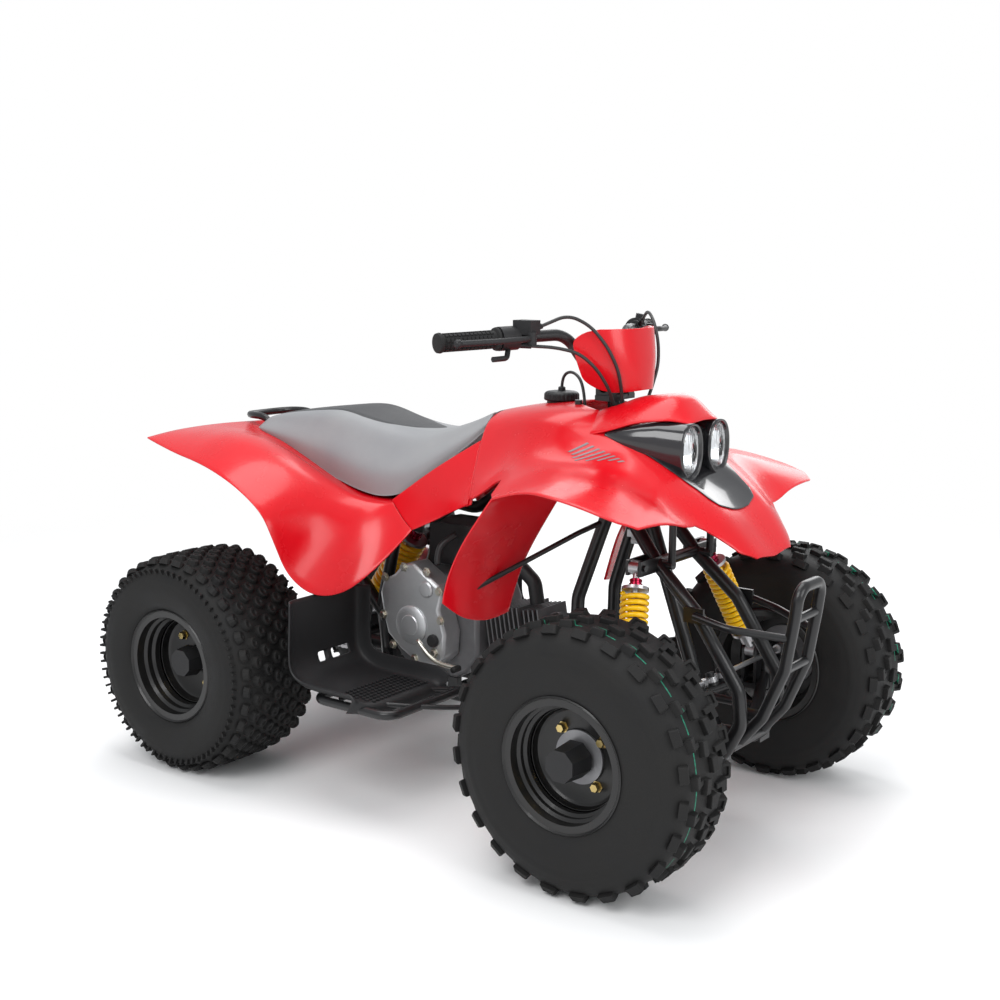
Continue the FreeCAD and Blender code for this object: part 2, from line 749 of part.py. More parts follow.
def spring_between(foot, top, outer_radius, wire, turns):
    axis = top - foot
    axis.normalize()
    return make_coil(foot + axis * 52.2, top - axis * 44.2, outer_radius, wire, turns)


def make_shocks():
    seat = mm("front_spring_radius") - 2
    front = damper(shock_foot, shock_top, V(1, 0, 0), 14, seat)
    rear = damper(rear_shock_foot, rear_shock_top, V(0, 1, 0), 17, 31)
    feature("shock_absorbers", Part.makeCompound([pair(front), rear]))
    wire, turns = mm("front_spring_wire"), int(mm("front_spring_turns"))
    front_coil = spring_between(shock_foot, shock_top, mm("front_spring_radius"), wire, turns)
    rear_coil = spring_between(rear_shock_foot, rear_shock_top, 33, 6, 7)
    feature("coil_springs", Part.makeCompound([pair(front_coil), rear_coil]))


def make_swingarm():
    pivot = V(mm("swing_pivot_x"), 0, mm("swing_pivot_z"))
    half = mm("swing_arm_spacing") / 2
    axle = V(rear_hub.x, 0, rear_hub.z)
    across = V(0, 1, 0)
    pieces = [
        ring(pivot, across, 18, 8.05, 2 * 55),
        cylinder(axle - across * (half - 2), axle + across * (half - 2), 30),
        cylinder(axle - across * half, axle + across * half, 26),
    ]
    for side in (1, -1):
        pieces.append(tube([pivot + V(-8, 33 * side, 0), V(-330, 50 * side, 236), axle + V(20, 58 * side, 0)], 15))
        ear = rear_shock_foot + V(0, 14 * side, 0)
        pieces.append(block(V(ear.x - 14, min(ear.y, ear.y + 6 * side), 225),
                            V(ear.x + 14, max(ear.y, ear.y + 6 * side), ear.z + 14)))
    pieces.append(cylinder(V(rear_shock_foot.x, -52, 236), V(rear_shock_foot.x, 52, 236), 14))
    pieces.append(cylinder(rear_shock_foot - across * 24, rear_shock_foot + across * 24, 6))
    arm = fused(pieces)
    bore = cylinder(axle - across * (half + 4), axle + across * (half + 4),
                    mm("rear_axle_radius") + mm("running_clearance"))
    arm = arm.cut(bore).cut(cylinder(pivot - across * 60, pivot + across * 60, 8.05))
    feature("swingarm", arm)


make_shocks()
make_swingarm()

# Frame and bumper

def make_frame():
    tube_radius = mm("frame_tube_radius")
    half = mm("frame_rail_spacing") / 2
    rail_z = mm("frame_rail_z")
    pivot = V(mm("swing_pivot_x"), 0, mm("swing_pivot_z"))
    runs = [
        ([V(pivot.x - 6, half, pivot.z), V(pivot.x + 2, half, rail_z), V(585, half, rail_z),
          V(622, half + 4, 238), V(618, half + 8, 300), V(528, half + 10, 432), V(438, half + 2, 512)], 40),
        ([V(438, half + 2, 512), V(330, 55, 640), V(180, 60, 676), V(60, 66, 640), V(-90, half + 4, 534),
          V(-320, half + 8, 556), V(-590, half, 640)], 60),
        ([V(-178, half + 5, 543), V(pivot.x - 20, half, 330), V(pivot.x - 6, half, pivot.z - 6)], 50),
        ([V(pivot.x - 6, half + 2, pivot.z + 70), V(-500, half + 4, 608)], 0),
        ([V(336, 56, 634), V(262, half - 4, 420), V(256, half, rail_z)], 60),
    ]
    pieces = []
    for points, bend in runs:
        for side in (1, -1):
            pieces.append(tube([mirrored(point, side) for point in points], tube_radius, bend))
    crossings = [V(438, half + 2, 512), V(-60, half, rail_z), V(256, half, rail_z),
                 V(600, half, 190), V(-300, half + 6, 554), V(-590, half, 640), V(440, half, rail_z)]
    for end in crossings:
        pieces.append(cylinder(mirrored(end, -1), end, tube_radius - 2))
    # Shock tower ends and pins
    for side in (1, -1):
        top = mirrored(shock_top, side)
        for offset in (-16.3, 10.3):
            inner = V(top.x + offset, side * (half - 2), top.z - 14)
            outer = V(top.x + offset + 6, side * (shock_top.y + 12), top.z + 14)
            pieces.append(block(V(inner.x, min(inner.y, outer.y), inner.z), V(outer.x, max(inner.y, outer.y), outer.z)))
        pieces.append(cylinder(top - V(20, 0, 0), top + V(20, 0, 0), 6))
        # Arm pivots on the lower rails
        for pivot_x in (mm("arm_pivot_front"), mm("arm_pivot_rear")):
            spot = V(pivot_x, side * mm("arm_pivot_spacing") / 2, mm("arm_pivot_z"))
            for offset in (-28.3, 22.3):
                low = V(spot.x + offset, side * (half - 4), rail_z - 8)
                high = V(spot.x + offset + 6, side * (mm("arm_pivot_spacing") / 2 + 10), spot.z + 12)
                pieces.append(block(V(low.x, min(low.y, high.y), low.z), V(high.x, max(low.y, high.y), high.z)))
            pieces.append(cylinder(spot - V(33, 0, 0), spot + V(33, 0, 0), 6))
    # Swingarm pivot
    for side in (1, -1):
        face = side * 55.3
        pieces.append(block(V(pivot.x - 22, min(face, side * half), pivot.z - 30),
                            V(pivot.x + 18, max(face, side * half), pivot.z + 30)))
    pieces.append(cylinder(pivot - V(0, 84, 0), pivot + V(0, 84, 0), 8))
    # Rear shock mount
    for side in (1, -1):
        pieces.append(block(V(rear_shock_top.x - 15, 12 if side > 0 else -18, rear_shock_top.z - 14),
                            V(rear_shock_top.x + 15, 18 if side > 0 else -12, 540)))
    pieces.append(cylinder(V(rear_shock_top.x, -half - 4, 540), V(rear_shock_top.x, half + 4, 540), 11))
    pieces.append(cylinder(rear_shock_top - V(0, 22, 0), rear_shock_top + V(0, 22, 0), 6))
    # Steering bearings
    bore = mm("stem_radius") + mm("running_clearance")
    lower = stem_foot - stem_up * 24
    upper = stem_foot + stem_up * 390
    pieces.append(cylinder(lower - stem_up * 9, lower + stem_up * 9, 24))
    pieces.append(cylinder(upper - stem_up * 9, upper + stem_up * 9, 22))
    pieces.append(block(V(upper.x - 31, -50, upper.z - 8), V(upper.x + 5, 50, upper.z + 5)))
    for side in (1, -1):
        pieces.append(cylinder(V(lower.x, 14 * side, lower.z), V(lower.x, half * side, rail_z + 6), 9))
    # Footrest hoops under the trays
    rest_z = footwell_floor - 9 - mm("piece_gap")
    for side in (1, -1):
        hoop = [V(-150, half, rail_z), V(-150, half + 84, rest_z), V(-150, 372, rest_z), V(44, 372, rest_z),
                V(44, half + 84, rest_z), V(44, half, rail_z)]
        pieces.append(tube([mirrored(point, side) for point in hoop], 9, 30))
    # Engine mounts
    for x in (-130, -40):
        for side in (1, -1):
            pieces.append(block(V(x - 12, min(60 * side, 76 * side), rail_z), V(x + 12, max(60 * side, 76 * side), 205)))
    pieces.append(cylinder(V(438, half, 512), V(474, half + 2, 512), 8))
    pieces.append(cylinder(V(438, -half, 512), V(474, -half - 2, 512), 8))
    pieces.append(block(V(-642, -18, 652), V(-590, 18, 662)))
    pieces.append(block(V(-600, -18, 636), V(-586, 18, 660)))
    # Tow eye
    eye = V(-616, 0, 631)
    plate_low = eye.z - mm("hitch_plate")
    pieces.append(block(V(eye.x, -16, plate_low), V(-584, 16, eye.z)))
    pieces.append(Part.makeCylinder(16, mm("hitch_plate"), V(eye.x, 0, plate_low)))
    frame = fused(pieces).cut(cylinder(stem_foot - stem_up * 60, stem_foot + stem_up * 420, bore))
    frame = frame.cut(Part.makeCylinder(mm("hitch_bore_radius"), 20, V(eye.x, 0, plate_low - 5)))
    feature("frame", frame)


def make_cover_posts():
    # Short posts between the frame tubes and the moulded covers.
    half = mm("frame_rail_spacing") / 2
    frame = doc.getObject("frame").Shape
    posts = []
    spots = {"rear_fairing": [(V(-300, half + 6, 554), 43), (V(-560, half + 2, 631), 57)],
             "front_fairing": [(V(250, 58, 660), 140), (V(470, 72, 512), 180)]}
    for cover, places in spots.items():
        for foot, reach in places:
            post = cylinder(foot, foot + V(0, 0, reach), 7)
            posts.append(kept(post, frame, doc.getObject(cover).Shape))
    feature("cover_posts", Part.makeCompound([pair(post) for post in posts]))


def make_bumper():
    # A narrow hoop in front of the frame, held at its foot and by two stays.
    foot = V(600, 46, 190)
    run = V(650, 46, 250) - foot
    run.normalize()
    hoop = [foot + run * 11.4, V(650, 46, 250), V(690, 46, 345), V(705, 46, 440), V(712, 46, 498)]
    far_side = [mirrored(point, -1) for point in reversed(hoop)]
    pieces = [tube(hoop + far_side, 11, 30)]
    for height in (2, 3):
        pieces.append(cylinder(mirrored(hoop[height], -1), hoop[height], 8))
    for side in (1, -1):
        stay = [V(698, 48, 405), V(600, 99, 418), V(534, 101.5, 432)]
        pieces.append(tube([mirrored(point, side) for point in stay], 7, 60))
        low, high = 93.6 * side, 99.6 * side
        pieces.append(block(V(512, min(low, high), 418), V(552, max(low, high), 446)))
    feature("front_bumper", fused(pieces))


def rounded_block(label, role, corners, start, thickness, edge=0):
    # A casting drawn as an outline and padded across the machine.
    body = new_body(label)
    sketch = polygon_sketch(body, label + "_outline", role, corners, as_size(start))
    pad(body, label + "_pad", sketch, thickness)
    doc.recompute()
    return body


def make_engine():
    case_outline = [(-190, 245), (-192, 340), (-165, 392), (-110, 428), (-40, 420), (12, 396),
                    (28, 360), (28, 262), (-2, 222), (-30, 205), (-150, 205)]
    # The sketch plane XZ looks along -Y, so its pads grow towards the rider's right.
    rounded_block("engine_case", "XZ_Plane", case_outline, -78, 158)
    cover_outline = [(-186, 392), (-176, 424), (-150, 438), (-128, 462), (-98, 470), (-70, 452), (-34, 432),
                     (-22, 408), (-30, 380), (-14, 330), (-18, 282), (-40, 262), (-84, 258), (-130, 282),
                     (-166, 312), (-178, 352)]
    right = [(x, z - 20) for x, z in cover_outline]
    rounded_block("engine_cover", "XZ_Plane", right, 80.0, 55)
    axis = V(math.cos(math.radians(10)), 0, math.sin(math.radians(10)))
    root = V(28, 0, 300)
    pieces = [cylinder(root, root + axis * 158, 36)]
    across = FreeCAD.Rotation(V(1, 0, 0), axis)
    for index in range(12):
        half = 56 if index < 8 else 50
        fin = Part.makeBox(3.2, 2 * half, 2 * half, V(0, -half, -half))
        fin.Placement = FreeCAD.Placement(root + axis * (8 + index * 11.5), across)
        pieces.append(fin)
    barrel = fused(pieces).cut(block(V(-100, -80, 200), V(28, 80, 400)))
    feature("engine_cylinder", barrel)
    manifold = tube([V(120, 0, 372), V(112, 0, 415), V(80, 0, 440), V(40, 0, 446)], 15, 25)
    carburettor = fused([cylinder(V(46, 0, 446), V(-6, 0, 446), 24), cylinder(V(20, 0, 420), V(20, 0, 476), 17)])
    airbox = block(V(-120, -52, 436), V(-18, 52, 522))
    neck = cylinder(V(0, 0, 446), V(-30, 0, 456), 24)
    feature("intake", fused([manifold.cut(barrel), carburettor, neck, airbox]))
    pipe = tube([V(150, 14, 290), V(158, 22, 236), V(150, 100, 214), V(100, 130, 228), V(-150, 140, 300),
                 V(-276, 150, 366)], 14, 40)
    muffler = cylinder(V(-268, 150, 360), V(-540, 152, 452), 41)
    tip = cylinder(V(-536, 152, 450), V(-572, 152, 462), 14)
    feature("exhaust", kept(fused([pipe, muffler, tip]), barrel))


bar_centre = V(stem_top.x, 0, mm("bar_clamp_z"))
bar_bend = V(stem_top.x - 44, 106, mm("bar_rise_z"))
bar_end = V(mm("bar_end_x"), mm("bar_end_y"), mm("bar_end_z"))
bar_run = bar_end - bar_bend
bar_run.normalize()


def along_bar(distance, side, ahead=0, up=0):
    # A point beside the bar's outer run, measured in from its end.
    point = bar_end - bar_run * distance + V(bar_run.y, -bar_run.x, 0) * ahead + V(0, 0, up)
    return mirrored(point, side)


def make_handlebar():
    radius = mm("bar_radius")
    half = [bar_centre + V(0, 52, 0), bar_bend, bar_end]
    points = [mirrored(point, -1) for point in reversed(half)] + half
    bar = tube(points, radius, 48)
    cross_end = bar_bend + V(18, -18, -40)
    cross = cylinder(mirrored(cross_end, -1), cross_end, 7)
    cover = doc.getObject("bar_cover").Shape
    clips = []
    for side in sides.values():
        hold_point = V(cross_end.x, 44 * side, cross_end.z)
        clips.append(kept(cylinder(hold_point, hold_point + V(78, 0, 0), 6), cover))
    feature("handlebar", fused([bar, cross] + clips))
    grips = []
    for side in sides.values():
        outer = along_bar(-3, side)
        inner = along_bar(mm("grip_length"), side)
        grip = cylinder(outer, inner, mm("grip_radius"))
        flange = cylinder(along_bar(mm("grip_length") - 5, side), inner, mm("grip_radius") + 5)
        hole = cylinder(along_bar(0, side), along_bar(mm("grip_length") + 3, side), radius)
        grips.append(fused([grip, flange]).cut(hole))
    feature("grips", Part.makeCompound(grips))


def make_control(name, side):
    grip = mm("grip_length")
    radius = mm("bar_radius")
    housing = cylinder(along_bar(grip + 3, side), along_bar(grip + 40, side), 22)
    perch = cylinder(along_bar(grip + 44, side), along_bar(grip + 62, side), 17)
    pieces = [housing, perch]
    pieces.append(cylinder(along_bar(grip + 53, side, 10), along_bar(grip + 53, side, 38), 8))
    pieces.append(cylinder(along_bar(grip + 53, side, 34, -11), along_bar(grip + 53, side, 34, 11), 9))
    lever = tube([along_bar(grip + 53, side, 34), along_bar(grip + 20, side, 46), along_bar(grip - 30, side, 50),
                  along_bar(18, side, 40)], 5.5, 40)
    pieces.append(lever)
    pieces.append(Part.makeSphere(8, along_bar(18, side, 40)))
    pieces.append(cylinder(along_bar(grip + 38, side), along_bar(grip + 46, side), 15))
    route = cable_routes["brake_cable" if side < 0 else "left_brake_cable"]
    pieces.append(cylinder(along_bar(grip + 53, side, 10, 8), route[0], 5))
    if side < 0:
        pieces.append(cylinder(along_bar(grip + 28, side, 8, -12), cable_routes["throttle_cable"][0], 5))
        tank = along_bar(grip + 53, side, 16, 18)
        pieces.append(block(tank - V(20, 15, 12), tank + V(20, 15, 14)))
        pieces.append(tube([along_bar(grip + 20, side, 6, -20), along_bar(grip + 10, side, 18, -34),
                            along_bar(grip - 22, side, 22, -34)], 5, 12))
    else:
        pieces.append(cylinder(along_bar(grip + 20, side), along_bar(grip + 20, side, 6, 30), 8))
    shape = fused(pieces).cut(cylinder(along_bar(grip - 2, side), along_bar(grip + 70, side), radius))
    feature(f"control_{name}", shape)


def make_bar_cover():
    heights = [(932, 1.0, 0), (900, 1.0, 4), (860, 0.86, 10), (822, 0.6, 12)]
    arch = [(0, 346), (44, 342), (82, 318), (112, 268)]
    rows = []
    for z, spread, ahead in heights:
        side_points = [V(x + ahead, y * spread, z) for y, x in arch]
        rows.append([mirrored(point, -1) for point in reversed(side_points[1:])] + side_points)
    cover = skin(rows, 4)
    feature("bar_cover", cover)


cable_routes = {
    "brake_cable": [V(246, -176, 944), V(279, -141, 964), V(310, -113, 944), V(334, -91, 905), V(346, -72, 862),
                    V(343, -54, 820), V(336, -40, 782), V(337, -29, 744), V(347.6, -23, 706)],
    "throttle_cable": [V(236, -196, 908), V(266, -162, 905), V(298, -132, 895), V(320, -106, 866),
                       V(331, -80, 828), V(326, -50, 790), V(322, -38, 756), V(326, -30, 724), V(337.2, -25.4, 701.6)],
    "left_brake_cable": [V(246, 176, 944), V(279, 141, 964), V(310, 113, 944), V(334, 91, 905), V(346, 72, 862),
                         V(343, 54, 820), V(336, 40, 782), V(337, 29, 744), V(347.6, 23, 706)],
}


def make_cables():
    for name, route in cable_routes.items():
        feature(name, tube(route, 3.2, 200))


make_bumper()
make_engine()
make_bar_cover()
make_handlebar()
for name, side in sides.items():
    make_control(name, side)
make_cables()

# Seat

def seat_section(x, low, high, half_low, half_high):
    # A closed outline: flat underside, sides that lean in and a crowned top.
    side = [V(x, half_low, low), V(x, half_low + 1, low + (high - low) * 0.35),
            V(x, half_high + (half_low - half_high) * 0.45, low + (high - low) * 0.8), V(x, half_high, high - 4),
            V(x, half_high * 0.5, high)]
    outline = side + [mirrored(point, -1) for point in reversed(side)]
    return Part.makePolygon(outline + outline[:1])


def make_seat():
    stations = [(-600, 678, 690, 58, 30), (-570, 676, 706, 96, 62), (-530, 672, 720, 118, 76),
                (-440, 648, 734, 128, 82), (-335, 610, 743, 130, 84), (-235, 582, 724, 129, 74),
                (-165, 580, 714, 128, 66), (-100, 604, 714, 126, 62), (-35, 652, 731, 118, 60),
                (25, 698, 753, 108, 62), (58, 728, 766, 98, 66)]
    wires = [seat_section(*station) for station in stations]
    cushion = Part.makeLoft(wires, True, True)
    base = doc.getObject("rear_fairing").Shape.translated(V(0, 0, mm("piece_gap")))
    feature("seat", kept(cushion, base))

# Painted plastics

def full_rows(half_rows):
    rows = []
    for row in half_rows:
        points = [V(*point) for point in row]
        rows.append([mirrored(point, -1) for point in reversed(points[1:])] + points)
    return rows


def prism(outline, low, high):
    corners = [V(x, y, low) for x, y in outline]
    corners += [V(x, -y, low) for x, y in reversed(outline) if y > 0]
    return Part.Face(Part.makePolygon(corners + corners[:1])).extrude(V(0, 0, high - low))


def make_front_fairing():
    wall = mm("plastic_wall")
    hood = [
        [(62, 0, 768), (62, 55, 766), (63, 98, 750), (65, 122, 715), (68, 142, 672), (72, 162, 628), (78, 184, 597)],
        [(130, 0, 783), (130, 65, 781), (131, 112, 764), (133, 138, 722), (136, 162, 682), (141, 188, 652),
         (150, 216, 630)],
        [(200, 0, 790), (200, 75, 789), (200, 125, 775), (200, 152, 735), (200, 182, 700), (202, 222, 674),
         (206, 300, 640)],
        [(262, 0, 796), (262, 78, 794), (262, 128, 774), (262, 158, 728), (262, 200, 692), (262, 265, 674),
         (262, 375, 648)],
        [(340, 0, 792), (340, 70, 782), (340, 115, 750), (340, 150, 712), (340, 200, 692), (340, 275, 688),
         (340, 375, 672)],
        [(400, 0, 752), (400, 55, 745), (400, 95, 722), (400, 130, 698), (400, 195, 683), (400, 275, 682),
         (400, 375, 666)],
        [(452, 0, 694), (452, 45, 690), (452, 85, 677), (452, 130, 675), (452, 195, 678), (452, 275, 678),
         (452, 375, 656)],
        [(508, 0, 638), (508, 45, 640), (508, 85, 643), (508, 130, 648), (508, 190, 659), (508, 265, 662),
         (508, 375, 644)],
        [(555, 0, 600), (555, 45, 604), (555, 85, 612), (555, 125, 612), (555, 185, 622), (555, 260, 634),
         (555, 375, 628)],
        [(602, 0, 562), (602, 40, 568), (602, 80, 577), (602, 125, 580), (602, 185, 588), (602, 260, 598),
         (602, 375, 596)],
        [(646, 0, 510), (646, 40, 520), (646, 80, 532), (646, 125, 538), (646, 185, 548), (646, 260, 558),
         (646, 375, 560)],
    ]
    shell = skin(full_rows(hood), -wall)
    outline = [(50, 0), (50, 190), (124, 206), (205, 243), (242, 322), (272, 360), (490, 360), (528, 352), (553, 330),
               (560, 150), (572, 136), (622, 96), (640, 66), (642, 0)]
    shell = shell.common(prism(outline, 450, 900))
    opening_axis = stem_top
    opening = cylinder(opening_axis - stem_up * 120, opening_axis + stem_up * 120, 70)
    cap_hole = Part.makeCylinder(cap_hole_radius, 120, V(cap_x, 0, 720))
    shell = shell.cut(opening).cut(cap_hole)
    flap_rows = [
        [V(169, 170, 398), V(164, 215, 390), V(156, 260, 396), V(148, 300, 412), V(138, 332, 441)],
        [V(191, 168, 476), V(186, 212, 474), V(178, 258, 475), V(166, 305, 476), V(150, 340, 478)],
        [V(217, 166, 530), V(212, 212, 532), V(206, 260, 534), V(194, 308, 534), V(178, 346, 532)],
        [V(250, 164, 586), V(246, 212, 592), V(240, 262, 594), V(230, 312, 592), V(214, 354, 584)],
        [V(284, 162, 640), V(282, 212, 660), V(278, 264, 668), V(274, 314, 664), V(268, 358, 652)],
    ]
    flap = skin(flap_rows, -wall)
    flaps = both_sides_compound(flap)
    strip_rows = [
        [V(-149.4, 138, 575), V(-127.4, 147, 558), V(-103.4, 155, 540), V(-77.4, 160, 524)],
        [V(-84, 139, 620), V(-64, 147, 595), V(-46, 153, 568), V(-30, 157, 545)],
        [V(-10, 136, 668), V(4, 148, 634), V(14, 157, 600), V(24, 163, 573)],
        [V(64.5, 122, 714), V(67.5, 142, 672), V(71.5, 162, 628), V(77.5, 183, 596)],
    ]
    strip = skin(strip_rows, -wall)
    return shell, flaps, both_sides_compound(strip)


def both_sides_compound(shape):
    return [shape, shape.mirror(V(0, 0, 0), V(0, 1, 0))]


shell, flaps, strips = make_front_fairing()
for label, shape in (("shell", shell), ("flap", flaps[0]), ("strip", strips[0])):
    box = shape.BoundBox
    print(label, shape.ShapeType, len(shape.Solids), shape.isValid(), round(shape.Volume), box)
feature("front_fairing", Part.makeCompound([fused([shell] + flaps)] + strips))


def make_rear_fairing():
    rows = [
        [(-640, 0, 690), (-645, 70, 692), (-655, 140, 693), (-668, 215, 690), (-676, 275, 685), (-680, 322, 678)],
        [(-585, 0, 684), (-586, 70, 687), (-588, 140, 694), (-590, 215, 696), (-589, 285, 684), (-587, 342, 660)],
        [(-480, 0, 662), (-480, 70, 664), (-480, 140, 674), (-480, 220, 697), (-476, 300, 686), (-473, 362, 647)],
        [(-400, 0, 634), (-400, 70, 634), (-400, 140, 640), (-398, 215, 676), (-390, 305, 668), (-378, 380, 626)],
        [(-335, 0, 600), (-335, 70, 600), (-334, 140, 612), (-330, 210, 644), (-325, 300, 642), (-320, 381, 598)],
        [(-285, 0, 582), (-285, 70, 582), (-284, 139, 592), (-280, 202, 614), (-278, 290, 608), (-275, 378, 563)],
        [(-245, 0, 572), (-245, 70, 572), (-245, 138, 578), (-243, 192, 590), (-250, 275, 565), (-258, 369, 515)],
        [(-215, 0, 570), (-215, 70, 570), (-215, 138, 574), (-212, 180, 572), (-222, 255, 522), (-246, 340, 432)],
        [(-190, 0, 570), (-190, 70, 570), (-188, 138, 573), (-182, 170, 556), (-184, 225, 484), (-200, 300, 388)],
        [(-168, 0, 570), (-168, 70, 570), (-165, 138, 574), (-152, 158, 550), (-138, 185, 496), (-150, 228, 412)],
        [(-151, 0, 570), (-151, 70, 570), (-150, 138, 575), (-128, 147, 558), (-104, 155, 540), (-78, 160, 524)],
    ]
    return skin(full_rows(rows), -mm("plastic_wall"))


rear = make_rear_fairing()
print("rear", rear.ShapeType, rear.isValid(), round(rear.Volume), rear.BoundBox)
feature("rear_fairing", rear)


def make_footwells():
    # A tray each side with a floor, a heel guard behind, an inner wall and a toe rise.
    pieces = []
    floor_low = footwell_floor
    tray = block(V(-246, 172, floor_low), V(104, 392, floor_low + 4))
    heel = block(V(-250, 172, floor_low), V(-246, 392, 396))
    inner = block(V(-250, 168, floor_low), V(104, 172, 330))
    outer = block(V(-250, 388, floor_low), V(-60, 392, 262))
    toe = block(V(104, 168, floor_low), V(108, 300, 300))
    pieces = [tray, heel, inner, outer, toe]
    feature("footwells", pair(fused(pieces)))


def make_lamp_pieces():
    # Two upright oval lamps side by side in a dark cowl.
    turn = FreeCAD.Rotation(V(0, 0, 1), V(1, 0, 0))
    lamps, sockets = [], []
    for side in (1, -1):
        for grow, length, store in ((0, 34, lamps), (0.3, 60, sockets)):
            oval = Part.Wire(Part.Ellipse(V(0, 0, 0), 49 + grow, 36 + grow).toShape())
            solid = Part.Face(oval).extrude(V(0, 0, length))
            solid.Placement = FreeCAD.Placement(V(474, 50 * side, 722), turn)
            store.append(solid)
    cowl_stations = [(452, 60, 700, 790), (472, 90, 672, 784), (498, 92, 664, 776)]
    wires = []
    for x, half, low, high in cowl_stations:
        corners = [V(x, half, low + 14), V(x, half, high - 22), V(x, half * 0.6, high), V(x, -half * 0.6, high),
                   V(x, -half, high - 22), V(x, -half, low + 14), V(x, -half * 0.6, low), V(x, half * 0.6, low)]
        wires.append(Part.makePolygon(corners + corners[:1]))
    cowl = Part.makeLoft(wires, True, True).cut(Part.makeCompound(sockets))
    feature("lamp_cowl", kept(cowl, doc.getObject("front_fairing").Shape.translated(V(0, 0, mm("piece_gap")))))
    feature("headlamps", Part.makeCompound(lamps))


def make_small_pieces():
    neck = Part.makeCylinder(cap_hole_radius - mm("piece_gap"), 16, V(cap_x, 0, 776))
    cap = fused([neck, Part.makeCylinder(34, 16, V(cap_x, 0, 791)), Part.makeCylinder(8, 10, V(cap_x, 0, 807))])
    feature("fuel_cap", cap)
    feature("tail_lamp", block(V(-664, -60, 650), V(-642.3, 60, 678)))
    fins = [block(V(326, 18, 520), V(346, 82, 528))]
    for index in range(7):
        fins.append(block(V(326, 20 + index * 10, 520), V(346, 22.5 + index * 10, 548)))
    fins.append(block(V(300, 46, 526), V(327, 72, 540)))
    feature("rectifier", kept(fused(fins), doc.getObject("frame").Shape))
    stay = tube([V(316, 60, 575), V(290, 112, 556), V(160, 286, 454)], 5, 60)
    feature("fender_stays", pair(kept(stay, doc.getObject("frame").Shape, doc.getObject("front_fairing").Shape)))


make_seat()
make_footwells()
make_lamp_pieces()
make_frame()
make_cover_posts()
make_small_pieces()

# NEXT

doc.recompute()
os.makedirs("parts", exist_ok=True)
for item in doc.Objects:
    if "Invalid" in item.State or "Error" in item.State:
        raise ValueError(f"{item.Label} failed: {item.State}")
for name in node_names:
    node = doc.getObject(name)
    if node.Shape.isNull() or not node.Shape.isValid():
        raise ValueError(f"{name} has no valid shape")
for name in node_names:
    doc.getObject(name).Shape.exportStep(f"parts/{name}.step")
print(len(node_names), "nodes written")
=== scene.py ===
import bpy
import bmesh
import math
from mathutils import Matrix, Vector


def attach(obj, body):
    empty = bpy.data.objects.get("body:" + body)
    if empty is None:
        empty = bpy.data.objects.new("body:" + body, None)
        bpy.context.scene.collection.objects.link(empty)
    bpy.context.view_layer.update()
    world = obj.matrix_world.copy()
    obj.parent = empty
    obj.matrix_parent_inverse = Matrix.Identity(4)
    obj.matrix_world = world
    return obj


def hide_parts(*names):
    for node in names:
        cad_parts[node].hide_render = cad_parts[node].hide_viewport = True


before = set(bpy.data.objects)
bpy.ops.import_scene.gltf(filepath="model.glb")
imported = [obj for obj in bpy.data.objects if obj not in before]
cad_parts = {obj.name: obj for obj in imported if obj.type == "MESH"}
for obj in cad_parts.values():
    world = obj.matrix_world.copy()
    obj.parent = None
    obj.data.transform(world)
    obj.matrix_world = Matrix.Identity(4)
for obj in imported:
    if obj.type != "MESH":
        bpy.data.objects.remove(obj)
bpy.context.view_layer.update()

scene = bpy.context.scene
scene.view_settings.view_transform = "Standard"


# Nodes

def addNode(tree, kind, inputs=None, **settings):
    # A node with its own settings; each input is a plain value or a socket to link.
    node = tree.nodes.new(kind)
    for name, value in settings.items():
        setattr(node, name, value)
    for name, value in (inputs or {}).items():
        if isinstance(value, bpy.types.NodeSocket):
            tree.links.new(value, node.inputs[name])
        else:
            node.inputs[name].default_value = value
    return node


def mathNode(tree, operation, *values):
    return addNode(tree, "ShaderNodeMath", dict(enumerate(values)), operation=operation).outputs[0]


def newMaterial(name, **inputs):
    material = bpy.data.materials.new(name)
    material.use_nodes = True
    shader = material.node_tree.nodes["Principled BSDF"]
    for label, value in inputs.items():
        shader.inputs[label.replace("_", " ")].default_value = value
    return material, material.node_tree, shader


def coordinates(tree):
    return addNode(tree, "ShaderNodeTexCoord").outputs["Object"]


def noiseFactor(tree, source, scale, detail=4, roughness=0.5):
    return addNode(tree, "ShaderNodeTexNoise", {"Scale": scale, "Detail": detail, "Roughness": roughness,
                                                "Vector": source}).outputs["Fac"]


def rangeNode(tree, value, low, high, start=0.3, end=0.7, **settings):
    return addNode(tree, "ShaderNodeMapRange", {"From Min": start, "From Max": end, "To Min": low, "To Max": high,
                                                "Value": value}, **settings).outputs["Result"]


def mixColour(tree, amount, first, second):
    return addNode(tree, "ShaderNodeMix", {6: first, 7: second, 0: amount}, data_type="RGBA").outputs[2]


def bumpNode(tree, height, strength, distance, under=None):
    bump = addNode(tree, "ShaderNodeBump", {"Strength": strength, "Distance": distance, "Height": height})
    if under is not None:
        tree.links.new(under, bump.inputs["Normal"])
    return bump.outputs["Normal"]


def newTree(name, inputs):
    tree = bpy.data.node_groups.new(name, "GeometryNodeTree")
    for label, kind, value in [("Geometry", "Geometry", None)] + inputs:
        socket = tree.interface.new_socket(label, in_out="INPUT", socket_type="NodeSocket" + kind)
        if value is not None:
            socket.default_value = value
    tree.interface.new_socket("Geometry", in_out="OUTPUT", socket_type="NodeSocketGeometry")
    return tree, tree.nodes.new("NodeGroupInput").outputs, tree.nodes.new("NodeGroupOutput").inputs["Geometry"]


def link(obj):
    scene.collection.objects.link(obj)
    return obj


# Camera, floor and light

